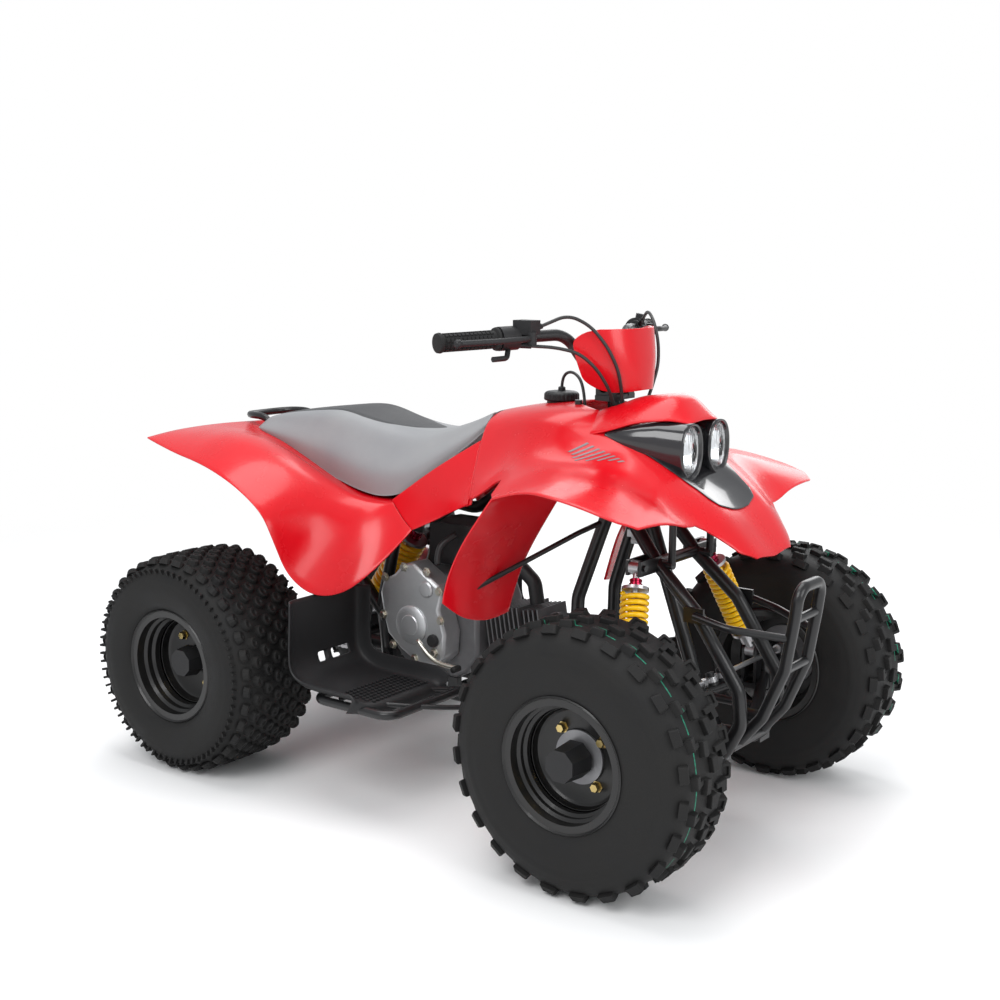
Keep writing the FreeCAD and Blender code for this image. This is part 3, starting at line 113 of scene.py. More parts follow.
cameraView = {"place": (1.7715, -2.358, 1.087), "turn": 36.555, "dip": 9.904, "roll": 0.403, "lens": 52.45,
              "sensor": 36, "reach": 60}


def makeCamera(view):
    turn, dip, roll = (math.radians(view[key]) for key in ("turn", "dip", "roll"))
    ahead = Vector((-math.sin(turn) * math.cos(dip), math.cos(turn) * math.cos(dip), -math.sin(dip)))
    level = Vector((math.cos(turn), math.sin(turn), 0))
    over = level.cross(ahead)
    right = level * math.cos(roll) + over * math.sin(roll)
    up = over * math.cos(roll) - level * math.sin(roll)
    camera = link(bpy.data.objects.new("photoCamera", bpy.data.cameras.new("photoCamera")))
    camera.data.sensor_width, camera.data.lens, camera.data.clip_end = view["sensor"], view["lens"], view["reach"]
    camera.matrix_world = Matrix.Translation(view["place"]) @ Matrix((right, up, -ahead)).transposed().to_4x4()
    scene.camera = camera


makeCamera(cameraView)

studio = {"floorSize": 30, "floorTone": (0.9, 0.9, 0.9, 1), "fadeStart": 1.6, "fadeEnd": 3.4, "skyStrength": 0.68,
          "skyTone": (0.95, 0.97, 1, 1)}


def makeFloor():
    # A pale floor that fades into the white backdrop away from the machine.
    mesh = bpy.data.meshes.new("studioFloor")
    half = studio["floorSize"]
    mesh.from_pydata([(-half, -half, 0), (half, -half, 0), (half, half, 0), (-half, half, 0)], [], [(0, 1, 2, 3)])
    material, tree, shader = newMaterial("paleFloor", Base_Color=studio["floorTone"], Roughness=0.9,
                                         Specular_IOR_Level=0.1)
    distance = addNode(tree, "ShaderNodeVectorMath", {0: coordinates(tree)}, operation="LENGTH").outputs["Value"]
    fade = rangeNode(tree, distance, 0, 1, studio["fadeStart"], studio["fadeEnd"], interpolation_type="SMOOTHSTEP")
    ray = addNode(tree, "ShaderNodeLightPath").outputs
    seen = mathNode(tree, "MAXIMUM", mathNode(tree, "MAXIMUM", ray["Is Camera Ray"], ray["Is Glossy Ray"]),
                    ray["Is Transmission Ray"])
    glow = addNode(tree, "ShaderNodeEmission")
    mix = addNode(tree, "ShaderNodeMixShader", {0: mathNode(tree, "MULTIPLY", fade, seen), 1: shader.outputs[0],
                                                2: glow.outputs[0]})
    tree.links.new(mix.outputs[0], tree.nodes["Material Output"].inputs["Surface"])
    mesh.materials.append(material)
    link(bpy.data.objects.new("studioFloor", mesh))


def makeSky():
    world = scene.world = bpy.data.worlds.new("studioSky")
    world.use_nodes = True
    tree = world.node_tree
    light = tree.nodes["Background"]
    light.inputs["Color"].default_value = studio["skyTone"]
    light.inputs["Strength"].default_value = studio["skyStrength"]
    backdrop = addNode(tree, "ShaderNodeBackground", {"Color": (1, 1, 1, 1), "Strength": 1})
    ray = addNode(tree, "ShaderNodeLightPath").outputs
    seen = mathNode(tree, "MAXIMUM", ray["Is Camera Ray"], ray["Is Transmission Ray"])
    mix = addNode(tree, "ShaderNodeMixShader", {0: seen, 1: light.outputs[0], 2: backdrop.outputs[0]})
    tree.links.new(mix.outputs[0], tree.nodes["World Output"].inputs["Surface"])


makeFloor()
makeSky()

softBoxes = [  # name, place, size, power
    ("keyLight", (0.6, -3.2, 3.2), 2.2, 84),
    ("topLight", (-0.4, 0.2, 3.8), 2.6, 70),
    ("frontLight", (3.6, -0.6, 1.9), 1.8, 42),
    ("farLight", (-0.8, 3.4, 2.4), 2.4, 45),
]
aimPoint = Vector((0, 0, 0.45))
for name, place, size, power in softBoxes:
    lamp = bpy.data.lights.new(name, "AREA")
    lamp.shape, lamp.size, lamp.energy = "SQUARE", size, power
    holder = link(bpy.data.objects.new(name, lamp))
    holder.location = place
    holder.rotation_euler = (aimPoint - Vector(place)).to_track_quat("-Z", "Y").to_euler()
print("camera, floor and light ready")


# Finishes

def shade(name, tone, darker, roughness, metallic=0, grainScale=900, grain=0.15, grainDepth=0.0004,
          blotchScale=9, coat=0, spread=0.06, waveScale=0, waveDepth=0, specular=0.5):
    # A finish with a fine grain, slow changes of tone and gloss, and a slight unevenness of the surface.
    material, tree, shader = newMaterial(name, Metallic=metallic, Coat_Weight=coat, Specular_IOR_Level=specular,
                                         Coat_Roughness=0.06)
    where = coordinates(tree)
    blotch = noiseFactor(tree, where, blotchScale, 5, 0.6)
    normal = bumpNode(tree, noiseFactor(tree, where, grainScale, 2), grain, grainDepth)
    if waveScale:
        normal = bumpNode(tree, noiseFactor(tree, where, waveScale, 1), 0.5, waveDepth, normal)
    tree.links.new(mixColour(tree, rangeNode(tree, blotch, 0, 1), (*tone, 1), (*darker, 1)),
                   shader.inputs["Base Color"])
    tree.links.new(rangeNode(tree, blotch, roughness - spread, roughness + spread), shader.inputs["Roughness"])
    tree.links.new(normal, shader.inputs["Normal"])
    return material


finishes = {  # tone, darker tone, roughness, other settings
    "redPlastic": ((0.63, 0.002, 0.009), (0.57, 0.0015, 0.007), 0.26,
                   dict(grain=0.05, grainScale=1400, specular=0.4, coat=0.12, spread=0.04, waveScale=14,
                        waveDepth=0.0012)),
    "blackPlastic": ((0.01, 0.01, 0.011), (0.016, 0.016, 0.017), 0.5,
                     dict(grainScale=1300, grain=0.5, grainDepth=0.0003, specular=0.35)),
    "smokePlastic": ((0.012, 0.012, 0.014), (0.016, 0.016, 0.018), 0.14, dict(grain=0.03, coat=0.6, spread=0.03)),
    "blackPaint": ((0.006, 0.006, 0.0065), (0.011, 0.011, 0.012), 0.34,
                   dict(grain=0.1, grainScale=700, coat=0.15, specular=0.4)),
    "wheelPaint": ((0.006, 0.006, 0.0065), (0.012, 0.0115, 0.011), 0.36,
                   dict(grain=0.15, grainScale=600, coat=0.12, specular=0.4)),
    "plainSteel": ((0.5, 0.5, 0.51), (0.38, 0.38, 0.39), 0.34, dict(metallic=1, grain=0.2, grainScale=500)),
    "zincSteel": ((0.62, 0.61, 0.56), (0.5, 0.47, 0.38), 0.3, dict(metallic=1, grain=0.12)),
    "brassNut": ((0.6, 0.47, 0.2), (0.45, 0.34, 0.14), 0.32, dict(metallic=1, grain=0.1)),
    "castAlloy": ((0.55, 0.56, 0.57), (0.42, 0.43, 0.44), 0.42,
                  dict(metallic=0.85, grain=0.7, grainScale=520, grainDepth=0.0006)),
    "darkAlloy": ((0.16, 0.16, 0.165), (0.1, 0.1, 0.105), 0.5,
                  dict(metallic=0.6, grain=0.6, grainScale=480, grainDepth=0.0006)),
    "hubAlloy": ((0.3, 0.3, 0.31), (0.21, 0.21, 0.22), 0.5,
                 dict(metallic=0.7, grain=0.5, grainScale=520, grainDepth=0.0005)),
    "yellowPaint": ((1, 0.62, 0.004), (0.95, 0.56, 0.004), 0.32, dict(grain=0.08, coat=0.15)),
    "collarMetal": ((0.42, 0.02, 0.06), (0.3, 0.015, 0.05), 0.25, dict(metallic=0.9, grain=0.05)),
    "brightSteel": ((0.75, 0.75, 0.76), (0.66, 0.66, 0.67), 0.12, dict(metallic=1, grain=0.03)),
    "gripRubber": ((0.009, 0.009, 0.009), (0.014, 0.014, 0.014), 0.7,
                   dict(specular=0.3, grain=0.6, grainScale=1500, grainDepth=0.0003)),
    "cableJacket": ((0.012, 0.012, 0.013), (0.02, 0.02, 0.02), 0.42, dict(grain=0.2)),
    "redLens": ((0.45, 0.004, 0.006), (0.35, 0.002, 0.004), 0.12, dict(grain=0.02, coat=0.7)),
    "tyreRubber": ((0.0075, 0.0075, 0.0078), (0.013, 0.0125, 0.012), 0.66,
                   dict(grain=0.5, grainDepth=0.0005, blotchScale=16, spread=0.08, specular=0.26)),
    "lampMirror": ((0.86, 0.87, 0.88), (0.74, 0.75, 0.77), 0.1,
                   dict(metallic=1, grain=0.25, grainScale=190, grainDepth=0.0012, spread=0.03)),
    "bulbGlass": ((0.9, 0.9, 0.86), (0.8, 0.8, 0.76), 0.08, dict(coat=0.6)),
    "stripePaint": ((0.22, 0.21, 0.23), (0.17, 0.165, 0.18), 0.34, dict(grain=0.08)),
}
finish = {name: shade(name, *tones, **settings) for name, (*tones, settings) in finishes.items()}


def smoothTree():
    # Joins a solid's loose triangles and shades them smooth except over sharp edges.
    tree, given, end = newTree("smoothCasting", [("Sharp Angle", "Float", math.radians(34))])
    weld = addNode(tree, "GeometryNodeMergeByDistance", {"Geometry": given["Geometry"], "Distance": 0.00002})
    soft = addNode(tree, "GeometryNodeSetShadeSmooth", {"Geometry": weld.outputs["Geometry"]})
    edge = addNode(tree, "GeometryNodeInputMeshEdgeAngle").outputs["Unsigned Angle"]
    sharp = addNode(tree, "FunctionNodeCompare", {0: edge, 1: given["Sharp Angle"]}, operation="GREATER_THAN")
    hard = addNode(tree, "GeometryNodeSetShadeSmooth", {"Geometry": soft.outputs["Geometry"], "Shade Smooth": False,
                                                        "Selection": sharp.outputs[0]}, domain="EDGE")
    tree.links.new(hard.outputs["Geometry"], end)
    return tree


smoothCasting = smoothTree()

nodeFinishes = {
    "blackPaint": ["frame", "front_bumper", "suspension_arms", "swingarm", "knuckle_left", "knuckle_right",
                   "steering_stem", "handlebar", "fender_stays", "cover_posts"],
    "plainSteel": ["rear_axle", "rear_sprocket", "engine_sprocket", "brake_disc", "drive_chain", "tie_rod_left",
                   "tie_rod_right", "exhaust", "shock_absorbers"],
    "wheelPaint": ["front_rim_left", "front_rim_right", "rear_rims"],
    "castAlloy": ["engine_cover", "rectifier"],
    "hubAlloy": ["front_hub_left", "front_hub_right"],
    "darkAlloy": ["engine_case", "engine_cylinder"],
    "yellowPaint": ["coil_springs"],
    "blackPlastic": ["hub_cap_left", "hub_cap_right", "rear_caps", "intake", "control_left", "control_right",
                     "footwells", "fuel_cap"],
    "gripRubber": ["grips"],
    "cableJacket": ["brake_cable", "throttle_cable", "left_brake_cable"],
    "smokePlastic": ["lamp_cowl"],
    "brightSteel": ["headlamps"],
    "redLens": ["tail_lamp"],
    "redPlastic": ["bar_cover", "front_fairing", "rear_fairing"],
    "tyreRubber": ["front_tyre_left", "front_tyre_right", "rear_tyres"],
}
for finishName, nodeList in nodeFinishes.items():
    for nodeName in nodeList:
        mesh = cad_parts[nodeName].data
        mesh.materials.clear()
        mesh.materials.append(finish[finishName])
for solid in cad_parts.values():
    solid.modifiers.new("smoothCasting", "NODES").node_group = smoothCasting
print("finishes on", sum(len(nodeList) for nodeList in nodeFinishes.values()), "nodes")


# Shared ways of making a mesh

def millimetres(point):
    # A point drawn in mm, as the frame's metres.
    return tuple(value / 1000 for value in point)


def circlePoints(radius, count, centre=(0, 0)):
    turns = [2 * math.pi * step / count for step in range(count)]
    return [(centre[0] + radius * math.cos(turn), centre[1] + radius * math.sin(turn)) for turn in turns]


def gridFaces(rows, columns, loopRows=False, loopColumns=False):
    # Faces over points given row by row; a loop joins the last row or column to the first.
    faces = []
    for i in range(rows if loopRows else rows - 1):
        here, above = i * columns, (i + 1) % rows * columns
        for j in range(columns if loopColumns else columns - 1):
            after = (j + 1) % columns
            faces.append((here + j, here + after, above + after, above + j))
    return faces


def stackRings(rings, closed=True):
    # Points and faces of a shape given as rings of equal count, from the lowest up.
    count = len(rings[0])
    faces = gridFaces(len(rings), count, loopColumns=True)
    if closed:
        faces.append(tuple(reversed(range(count))))
        faces.append(tuple(range((len(rings) - 1) * count, len(rings) * count)))
    return [point for ring in rings for point in ring], faces


def outlineStack(outline, levels):
    # One outline at several (scale, height).
    return stackRings([[(x * scale, y * scale, height) for x, y in outline] for scale, height in levels])


def meshObject(name, points, faces, material=None, smooth=True):
    mesh = bpy.data.meshes.new(name)
    mesh.from_pydata([tuple(point) for point in points], [], faces)
    mesh.update()
    if smooth:
        mesh.shade_smooth()
    if material:
        mesh.materials.append(material)
    return link(bpy.data.objects.new(name, mesh))


def outward(obj):
    # Merges doubles and points every face out.
    work = bmesh.new()
    work.from_mesh(obj.data)
    bmesh.ops.remove_doubles(work, verts=work.verts, dist=0.00001)
    bmesh.ops.recalc_face_normals(work, faces=work.faces)
    work.to_mesh(obj.data)
    work.free()
    return obj


def settle(obj):
    # Turns an object with its modifiers into one plain mesh.
    graph = bpy.context.evaluated_depsgraph_get()
    graph.update()
    mesh = bpy.data.meshes.new_from_object(obj.evaluated_get(graph), preserve_all_data_layers=True, depsgraph=graph)
    name = obj.name
    bpy.data.objects.remove(obj)
    mesh.name = name
    return link(bpy.data.objects.new(name, mesh))


def joined(name, objects):
    # One mesh from several, each keeping its finishes.
    work = bmesh.new()
    materials = []
    for obj in objects:
        own = list(obj.data.materials)
        materials += [material for material in own if material not in materials]
        first = len(work.faces)
        work.from_mesh(obj.data)
        work.faces.ensure_lookup_table()
        for face in work.faces[first:]:
            face.material_index = materials.index(own[face.material_index])
    mesh = bpy.data.meshes.new(name)
    work.to_mesh(mesh)
    work.free()
    for material in materials:
        mesh.materials.append(material)
    for obj in objects:
        bpy.data.objects.remove(obj)
    return link(bpy.data.objects.new(name, mesh))


def addTree(obj, tree, **values):
    modifier = obj.modifiers.new(tree.name, "NODES")
    modifier.node_group = tree
    for item in tree.interface.items_tree:
        if item.in_out == "INPUT" and item.name in values:
            modifier[item.identifier] = values[item.name]


def shapeCopies(tree, given, points, rotation, **more):
    # Copies of the tree's Shape on points, made real and given its Finish.
    shape = addNode(tree, "GeometryNodeObjectInfo", {"Object": given["Shape"]}).outputs["Geometry"]
    copies = addNode(tree, "GeometryNodeInstanceOnPoints", {"Points": points, "Instance": shape,
                                                            "Rotation": rotation, **more}).outputs[0]
    real = addNode(tree, "GeometryNodeRealizeInstances", {0: copies}).outputs[0]
    return addNode(tree, "GeometryNodeSetMaterial", {"Geometry": real, "Material": given["Finish"]}).outputs[0]


def ringTree():
    # Copies of one shape round an axis: its count, circle, height along the axis, lean and twist are inputs.
    tree, given, end = newTree("ringOfCopies", [
        ("Shape", "Object", None), ("Count", "Int", 12), ("Radius", "Float", 0.1), ("Height", "Float", 0.0),
        ("Phase", "Float", 0.0), ("Lean", "Float", 0.0), ("Twist", "Float", 0.0), ("Finish", "Material", None)])
    circle = addNode(tree, "GeometryNodeMeshCircle", {"Vertices": given["Count"], "Radius": given["Radius"]})
    step = mathNode(tree, "DIVIDE", 2 * math.pi, given["Count"])
    index = addNode(tree, "GeometryNodeInputIndex").outputs[0]
    angle = mathNode(tree, "ADD", mathNode(tree, "MULTIPLY", index, step), given["Phase"])
    x, y = (mathNode(tree, "MULTIPLY", mathNode(tree, wave, angle), given["Radius"]) for wave in ("COSINE", "SINE"))
    spot = addNode(tree, "ShaderNodeCombineXYZ", {0: x, 1: y, 2: given["Height"]}).outputs[0]
    place = addNode(tree, "GeometryNodeSetPosition", {"Geometry": circle.outputs["Mesh"], "Position": spot})
    lean = mathNode(tree, "SUBTRACT", math.pi / 2, given["Lean"])
    turn = addNode(tree, "ShaderNodeCombineXYZ", {1: lean, 2: angle}).outputs[0]
    spin = addNode(tree, "ShaderNodeCombineXYZ", {2: given["Twist"]}).outputs[0]
    leant, twisted = (addNode(tree, "FunctionNodeEulerToRotation", {0: value}).outputs[0] for value in (turn, spin))
    both = addNode(tree, "FunctionNodeRotateRotation", {0: leant, 1: twisted}, rotation_space="LOCAL").outputs[0]
    join = addNode(tree, "GeometryNodeJoinGeometry", {0: shapeCopies(tree, given, place.outputs["Geometry"], both)})
    tree.links.new(given["Geometry"], join.inputs[0])
    tree.links.new(join.outputs[0], end)
    return tree


def fixingTree():
    # Copies a shape onto every point of a mesh, with its Z along the point's own direction.
    tree, given, end = newTree("fixingsOnPoints", [
        ("Shape", "Object", None), ("Size", "Float", 1.0), ("Finish", "Material", None)])
    direction = addNode(tree, "GeometryNodeInputNamedAttribute", {"Name": "direction"}, data_type="FLOAT_VECTOR")
    turn = addNode(tree, "FunctionNodeAlignRotationToVector", {"Vector": direction.outputs["Attribute"]}, axis="Z")
    tree.links.new(shapeCopies(tree, given, given["Geometry"], turn.outputs[0], Scale=given["Size"]), end)
    return tree


ringOfCopies, fixingsOnPoints = ringTree(), fixingTree()
kitShapes = bpy.data.collections.new("shapesToCopy")  # never linked to the scene, so its shapes don't show


def kitShape(name, points, faces):
    mesh = bpy.data.meshes.new(name)
    mesh.from_pydata([tuple(point) for point in points], [], faces)
    obj = outward(bpy.data.objects.new(name, mesh))
    kitShapes.objects.link(obj)
    return obj


def fixings(name, shape, spots, material, size=1.0):
    # spots holds (place in mm, direction).
    mesh = bpy.data.meshes.new(name)
    mesh.from_pydata([millimetres(place) for place, _ in spots], [], [])
    layer = mesh.attributes.new("direction", "FLOAT_VECTOR", "POINT")
    for index, (_, direction) in enumerate(spots):
        layer.data[index].vector = Vector(direction).normalized()
    obj = link(bpy.data.objects.new(name, mesh))
    addTree(obj, fixingsOnPoints, Shape=shape, Size=size, Finish=material)
    return settle(obj)


def lathe(name, profile, turns, material, closed=False):
    # A turned shape round Z: profile holds (radius, height) from one end to the other.
    angles = [2 * math.pi * step / turns for step in range(turns)]
    points = [(radius * math.cos(angle), radius * math.sin(angle), height)
              for angle in angles for radius, height in profile]
    return outward(meshObject(name, points, gridFaces(turns, len(profile), True, closed), material))


def sharpen(obj, degrees=36):
    obj.data.set_sharp_from_angle(angle=math.radians(degrees))
    return obj


def turned(name, profile, matrix, material, turns=32):
    # A turned piece: profile in mm as (radius, height), closed at both ends, then placed.
    profile = [(0.0, profile[0][1]), *profile, (0.0, profile[-1][1])]
    obj = lathe(name, [millimetres(point) for point in profile], turns, material)
    obj.data.transform(matrix)
    return sharpen(obj)


def along(start, direction):
    # A frame at a point in mm whose Z runs along the direction.
    return Matrix.Translation(Vector(start) / 1000) @ Vector(direction).to_track_quat("Z", "Y").to_matrix().to_4x4()


def rod(name, points, radius, material, kind="NURBS"):
    # A round bar through points in mm; a NURBS line bends smoothly near its points.
    curve = bpy.data.curves.new(name, "CURVE")
    curve.dimensions = "3D"
    spline = curve.splines.new(kind)
    spline.points.add(len(points) - 1)
    for spot, place in zip(spline.points, points):
        spot.co = (*millimetres(place), 1)
    if kind == "NURBS":
        spline.order_u = 3
        spline.use_endpoint_u = True
    curve.resolution_u, curve.bevel_resolution = 8, 3
    curve.bevel_depth = radius / 1000
    curve.use_fill_caps = True
    curve.materials.append(material)
    obj = outward(settle(link(bpy.data.objects.new(name, curve))))
    obj.data.shade_smooth()
    return obj


def roundBox(name, size, centre, material, bevel):
    # A box, its size in mm and its centre in metres, with softened edges.
    work = bmesh.new()
    bmesh.ops.create_cube(work, size=1)
    for vert in work.verts:
        vert.co = Vector([value * length / 1000 for value, length in zip(vert.co, size)])
    bmesh.ops.bevel(work, geom=list(work.edges), offset=bevel, segments=3, profile=0.5, affect="EDGES")
    mesh = bpy.data.meshes.new(name)
    work.to_mesh(mesh)
    work.free()
    mesh.transform(Matrix.Translation(centre))
    mesh.shade_smooth()
    mesh.materials.append(material)
    return link(bpy.data.objects.new(name, mesh))


def softRim(obj, name, width, degrees):
    # Rounds the edges that turn by more than the given angle.
    rim = obj.modifiers.new(name, "BEVEL")
    rim.width, rim.segments = width, 2
    rim.limit_method, rim.angle_limit = "ANGLE", math.radians(degrees)


def thicken(obj, wall, bevel=0.0012):
    # A wall that grows inwards, with a softened rim.
    solid = obj.modifiers.new("wall", "SOLIDIFY")
    solid.thickness, solid.offset, solid.use_even_offset = wall, -1, True
    softRim(obj, "rim", bevel, 50)
    return obj


def cutAway(obj, cutters):
    for cutter in cutters:
        cut = obj.modifiers.new("cut", "BOOLEAN")
        cut.operation, cut.object, cut.solver = "DIFFERENCE", cutter, "EXACT"
    obj = settle(obj)
    for cutter in cutters:
        bpy.data.objects.remove(cutter)
    return obj


def smoothLine(points, steps):
    # A Catmull-Rom line through the points.
    line = []
    padded = [points[0], *points, points[-1]]
    for a, b, c, d in zip(padded, padded[1:], padded[2:], padded[3:]):
        for step in range(steps):
            t = step / steps
            line.append(tuple(0.5 * (2 * q + (r - p) * t + (2 * p - 5 * q + 4 * r - s) * t * t
                                     + (3 * q - p - 3 * r + s) * t ** 3) for p, q, r, s in zip(a, b, c, d)))
    line.append(tuple(points[-1]))
    return line


def between(pairs, value):
    # Straight-line lookup in a rising list of (place, number).
    if value <= pairs[0][0]:
        return pairs[0][1]
    for (a, first), (b, second) in zip(pairs, pairs[1:]):
        if value <= b:
            return first + (second - first) * (value - a) / (b - a)
    return pairs[-1][1]


def declare(piece, body, slot, *nodeNames):
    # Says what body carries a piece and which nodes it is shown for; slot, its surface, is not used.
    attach(piece, body)
    if nodeNames:
        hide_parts(*nodeNames)
    return piece


# Tyres

frontTyre = {
    "radius": 0.241, "halfWidth": 0.088, "halfRim": 0.082, "lip": 0.119, "seat": 0.106, "lugDepth": 0.0095,
    "rows": [  # shape, count, height, drop, lean in degrees, twist in degrees, phase in steps
        ("barLug", 24, 0.012, 0.0, 4, 82, 0.0), ("barLug", 24, -0.012, 0.0, -4, 98, 0.5),
        ("hookLug", 24, 0.038, 0.002, 10, 8, 0.25), ("hookLug", 24, -0.038, 0.002, -10, 188, 0.75),
        ("ringLug", 24, 0.0615, 0.0075, 26, 0, 0.55), ("ringLug", 24, -0.0615, 0.0075, -26, 180, 0.05),
    ],
}
rearTyre = {
    "radius": 0.2285, "halfWidth": 0.119, "halfRim": 0.104, "lip": 0.119, "seat": 0.106, "lugDepth": 0.0085,
    "rows": [
        ("knob", 36, 0.0125, 0.0, 1, 0, 0.0), ("knob", 36, -0.0125, 0.0, -1, 180, 0.5),
        ("knob", 36, 0.0385, 0.0004, 4, 0, 0.5), ("knob", 36, -0.0385, 0.0004, -4, 180, 0.0),
        ("knob", 36, 0.0645, 0.002, 9, 0, 0.0), ("knob", 36, -0.0645, 0.002, -9, 180, 0.5),
        ("knob", 36, 0.0885, 0.0068, 26, 0, 0.5), ("knob", 36, -0.0885, 0.0068, -26, 180, 0.0),
        ("sideRib", 72, 0.1085, 0.0235, 62, 0, 0.25), ("sideRib", 72, -0.1085, 0.0235, -62, 180, 0.25),
    ],
}
tyreTurns = 144
sidewallRing = {"at": 0.63, "halfWidth": 0.0028, "rise": 0.0012}  # at is a share of the sidewall's depth


def roundOutline(halfX, halfY, corner):
    # A rectangle with three points round each of its corners.
    outline = []
    inX, inY = halfX - corner, halfY - corner
    for centreX, centreY, first in ((inX, inY, 0), (-inX, inY, 90), (-inX, -inY, 180), (inX, -inY, 270)):
        for degrees in (first, first + 45, first + 90):
            angle = math.radians(degrees)
            outline.append((centreX + corner * math.cos(angle), centreY + corner * math.sin(angle)))
    return outline


def makeLugs():
    # Local X runs across the tread once turned, local Y round it and Z out of it.
    front, rear = frontTyre["lugDepth"], rearTyre["lugDepth"]
    hook = [(-0.013, -0.011), (0.013, -0.011), (0.013, -0.002), (0.0, -0.002), (0.0, 0.011), (-0.013, 0.011)]
    oval = [(x * 0.0098, y * 0.0115) for x, y in circlePoints(1, 12)]
    lugs = {  # outline, and the scale and height of each ring
        "barLug": (roundOutline(0.0125, 0.0075, 0.002), [(1.15, -0.006), (1.04, front - 0.001), (0.94, front)]),
        "hookLug": (hook, [(1.12, -0.006), (1.0, front - 0.001), (0.92, front)]),
        "ringLug": (roundOutline(0.0125, 0.0135, 0.003), [
            (1.15, -0.007), (1.0, front - 0.0025), (0.94, front - 0.0015), (0.62, front - 0.0015),
            (0.52, front - 0.0055)]),
        "knob": (oval, [(1.3, -0.004), (1.06, rear - 0.0016), (0.92, rear), (0.5, rear - 0.0002),
                        (0.3, rear - 0.0024)]),
        "sideRib": (roundOutline(0.0095, 0.0021, 0.0012), [(1.2, -0.004), (0.9, 0.0038)]),
    }
    return {name: kitShape(name, *outlineStack(*shape)) for name, shape in lugs.items()}


lugShapes = makeLugs()


def tyreProfile(sizes):
    # Half of the section, from the crown to the bead; mirrored for the other side.
    crown = sizes["radius"] - sizes["lugDepth"]
    wide, lip, rim, seat = sizes["halfWidth"], sizes["lip"], sizes["halfRim"], sizes["seat"]
    depth = crown - lip
    foot = wide * 0.93 if wide > rim + 0.012 else rim + 0.001
    outer = smoothLine([(crown, 0), (crown - 0.0006, wide * 0.4), (crown - 0.0045, wide * 0.68),
                        (crown - depth * 0.16, wide * 0.865), (crown - depth * 0.32, wide * 0.955),
                        (lip + depth * 0.46, wide * 0.992), (lip + depth * 0.24, wide * 0.972),
                        (lip + depth * 0.08, foot), (lip - 0.001, rim - 0.002)], 4)
    ringAt = lip + depth * sidewallRing["at"]
    ringed = [(radius, across + (sidewallRing["rise"] if abs(radius - ringAt) < sidewallRing["halfWidth"] else 0))
              for radius, across in outer]
    bead = [(lip - 0.004, rim - 0.004), (seat, rim - 0.006), (seat, rim - 0.02), (lip, rim - 0.022)]
    inside = [(lip + depth * 0.45, wide - 0.012), (crown - 0.02, wide * 0.72), (crown - 0.014, 0)]
    half = ringed + bead + inside
    return half + [(radius, -across) for radius, across in reversed(half[1:-1])]


def wheelPlace(x, y, z):
    # Stands a wheel drawn round Z on its axle, with its outer face away from the middle.
    return Matrix.Translation((x, y, z)) @ Matrix.Rotation(math.radians(-90 if y > 0 else 90), 4, "X")


def makeTyre(name, sizes, place):
    tyre = lathe(name, tyreProfile(sizes), tyreTurns, finish["tyreRubber"], closed=True)
    for shape, count, height, drop, lean, twist, phase in sizes["rows"]:
        addTree(tyre, ringOfCopies, Shape=lugShapes[shape], Count=count, Height=height,
                Radius=sizes["radius"] - sizes["lugDepth"] - drop, Phase=2 * math.pi * phase / count,
                Lean=math.radians(-lean), Twist=math.radians(twist), Finish=finish["tyreRubber"])
    tyre = settle(tyre)
    tyre.data.transform(wheelPlace(*place))
    return tyre


frontAxle, rearAxle = (0.488, 0.375, 0.241), (-0.5, 0.3315, 0.2285)
frontTyres = []
for side, sign in (("left", 1), ("right", -1)):
    x, y, z = frontAxle
    tyre = makeTyre("frontTyre" + side.capitalize(), frontTyre, (x, y * sign, z))
    frontTyres.append(declare(tyre, "front_wheel_" + side, "tyre_rubber", "front_tyre_" + side))
x, y, z = rearAxle
rearTyres = joined("rearTyrePair", [makeTyre("rearTyre", rearTyre, (x, y * sign, z)) for sign in (1, -1)])
declare(rearTyres, "rear_wheels", "tyre_rubber", "rear_tyres")
print("tyres ready")


# Moulded plastics, drawn by the same nets of points as the solids

def splineWeights(count, t):
    # Which three points of a clamped quadratic line matter at t (0 to 1), and how much.
    spans = count - 2
    place = min(max(t, 0.0), 1.0) * spans
    span = min(int(place), spans - 1)
    knots = [0, 0] + list(range(spans + 1)) + [spans, spans]
    left = span + 2
    weights = [1.0]
    for degree in (1, 2):
        grown = [0.0] * (degree + 1)
        for index, weight in enumerate(weights):
            low, high = knots[left + 1 + index - degree], knots[left + 1 + index]
            share = weight / (high - low) if high > low else 0
            grown[index] += (high - place) * share
            grown[index + 1] += (place - low) * share
        weights = grown
    return span, weights


def netPoint(net, u, v):
    rowStart, rowWeights = splineWeights(len(net), u)
    columnStart, columnWeights = splineWeights(len(net[0]), v)
    point = Vector((0, 0, 0))
    for i, rowWeight in enumerate(rowWeights):
        for j, columnWeight in enumerate(columnWeights):
            point += Vector(net[rowStart + i][columnStart + j]) * (rowWeight * columnWeight)
    return point


def wholeNet(halfRows):
    # Rows in mm from the middle to the left, mirrored to the right.
    net = []
    for row in halfRows:
        line = [millimetres(point) for point in row]
        net.append([(x, -y, z) for x, y, z in reversed(line[1:])] + line)
    return net


def level(x, *pairs):
    # A row of a net at one x, given as pairs of y and z.
    return [(x, y, z) for y, z in pairs]


def sideNet(rows, side):
    # Rows in mm, drawn for the left, on either side.
    return [[millimetres((x, side * y, z)) for x, y, z in row] for row in rows]


search = {"tries": 12, "step": 0.0005, "near": 0.00002, "flat": 1e-9, "rows": 40, "columns": 60}


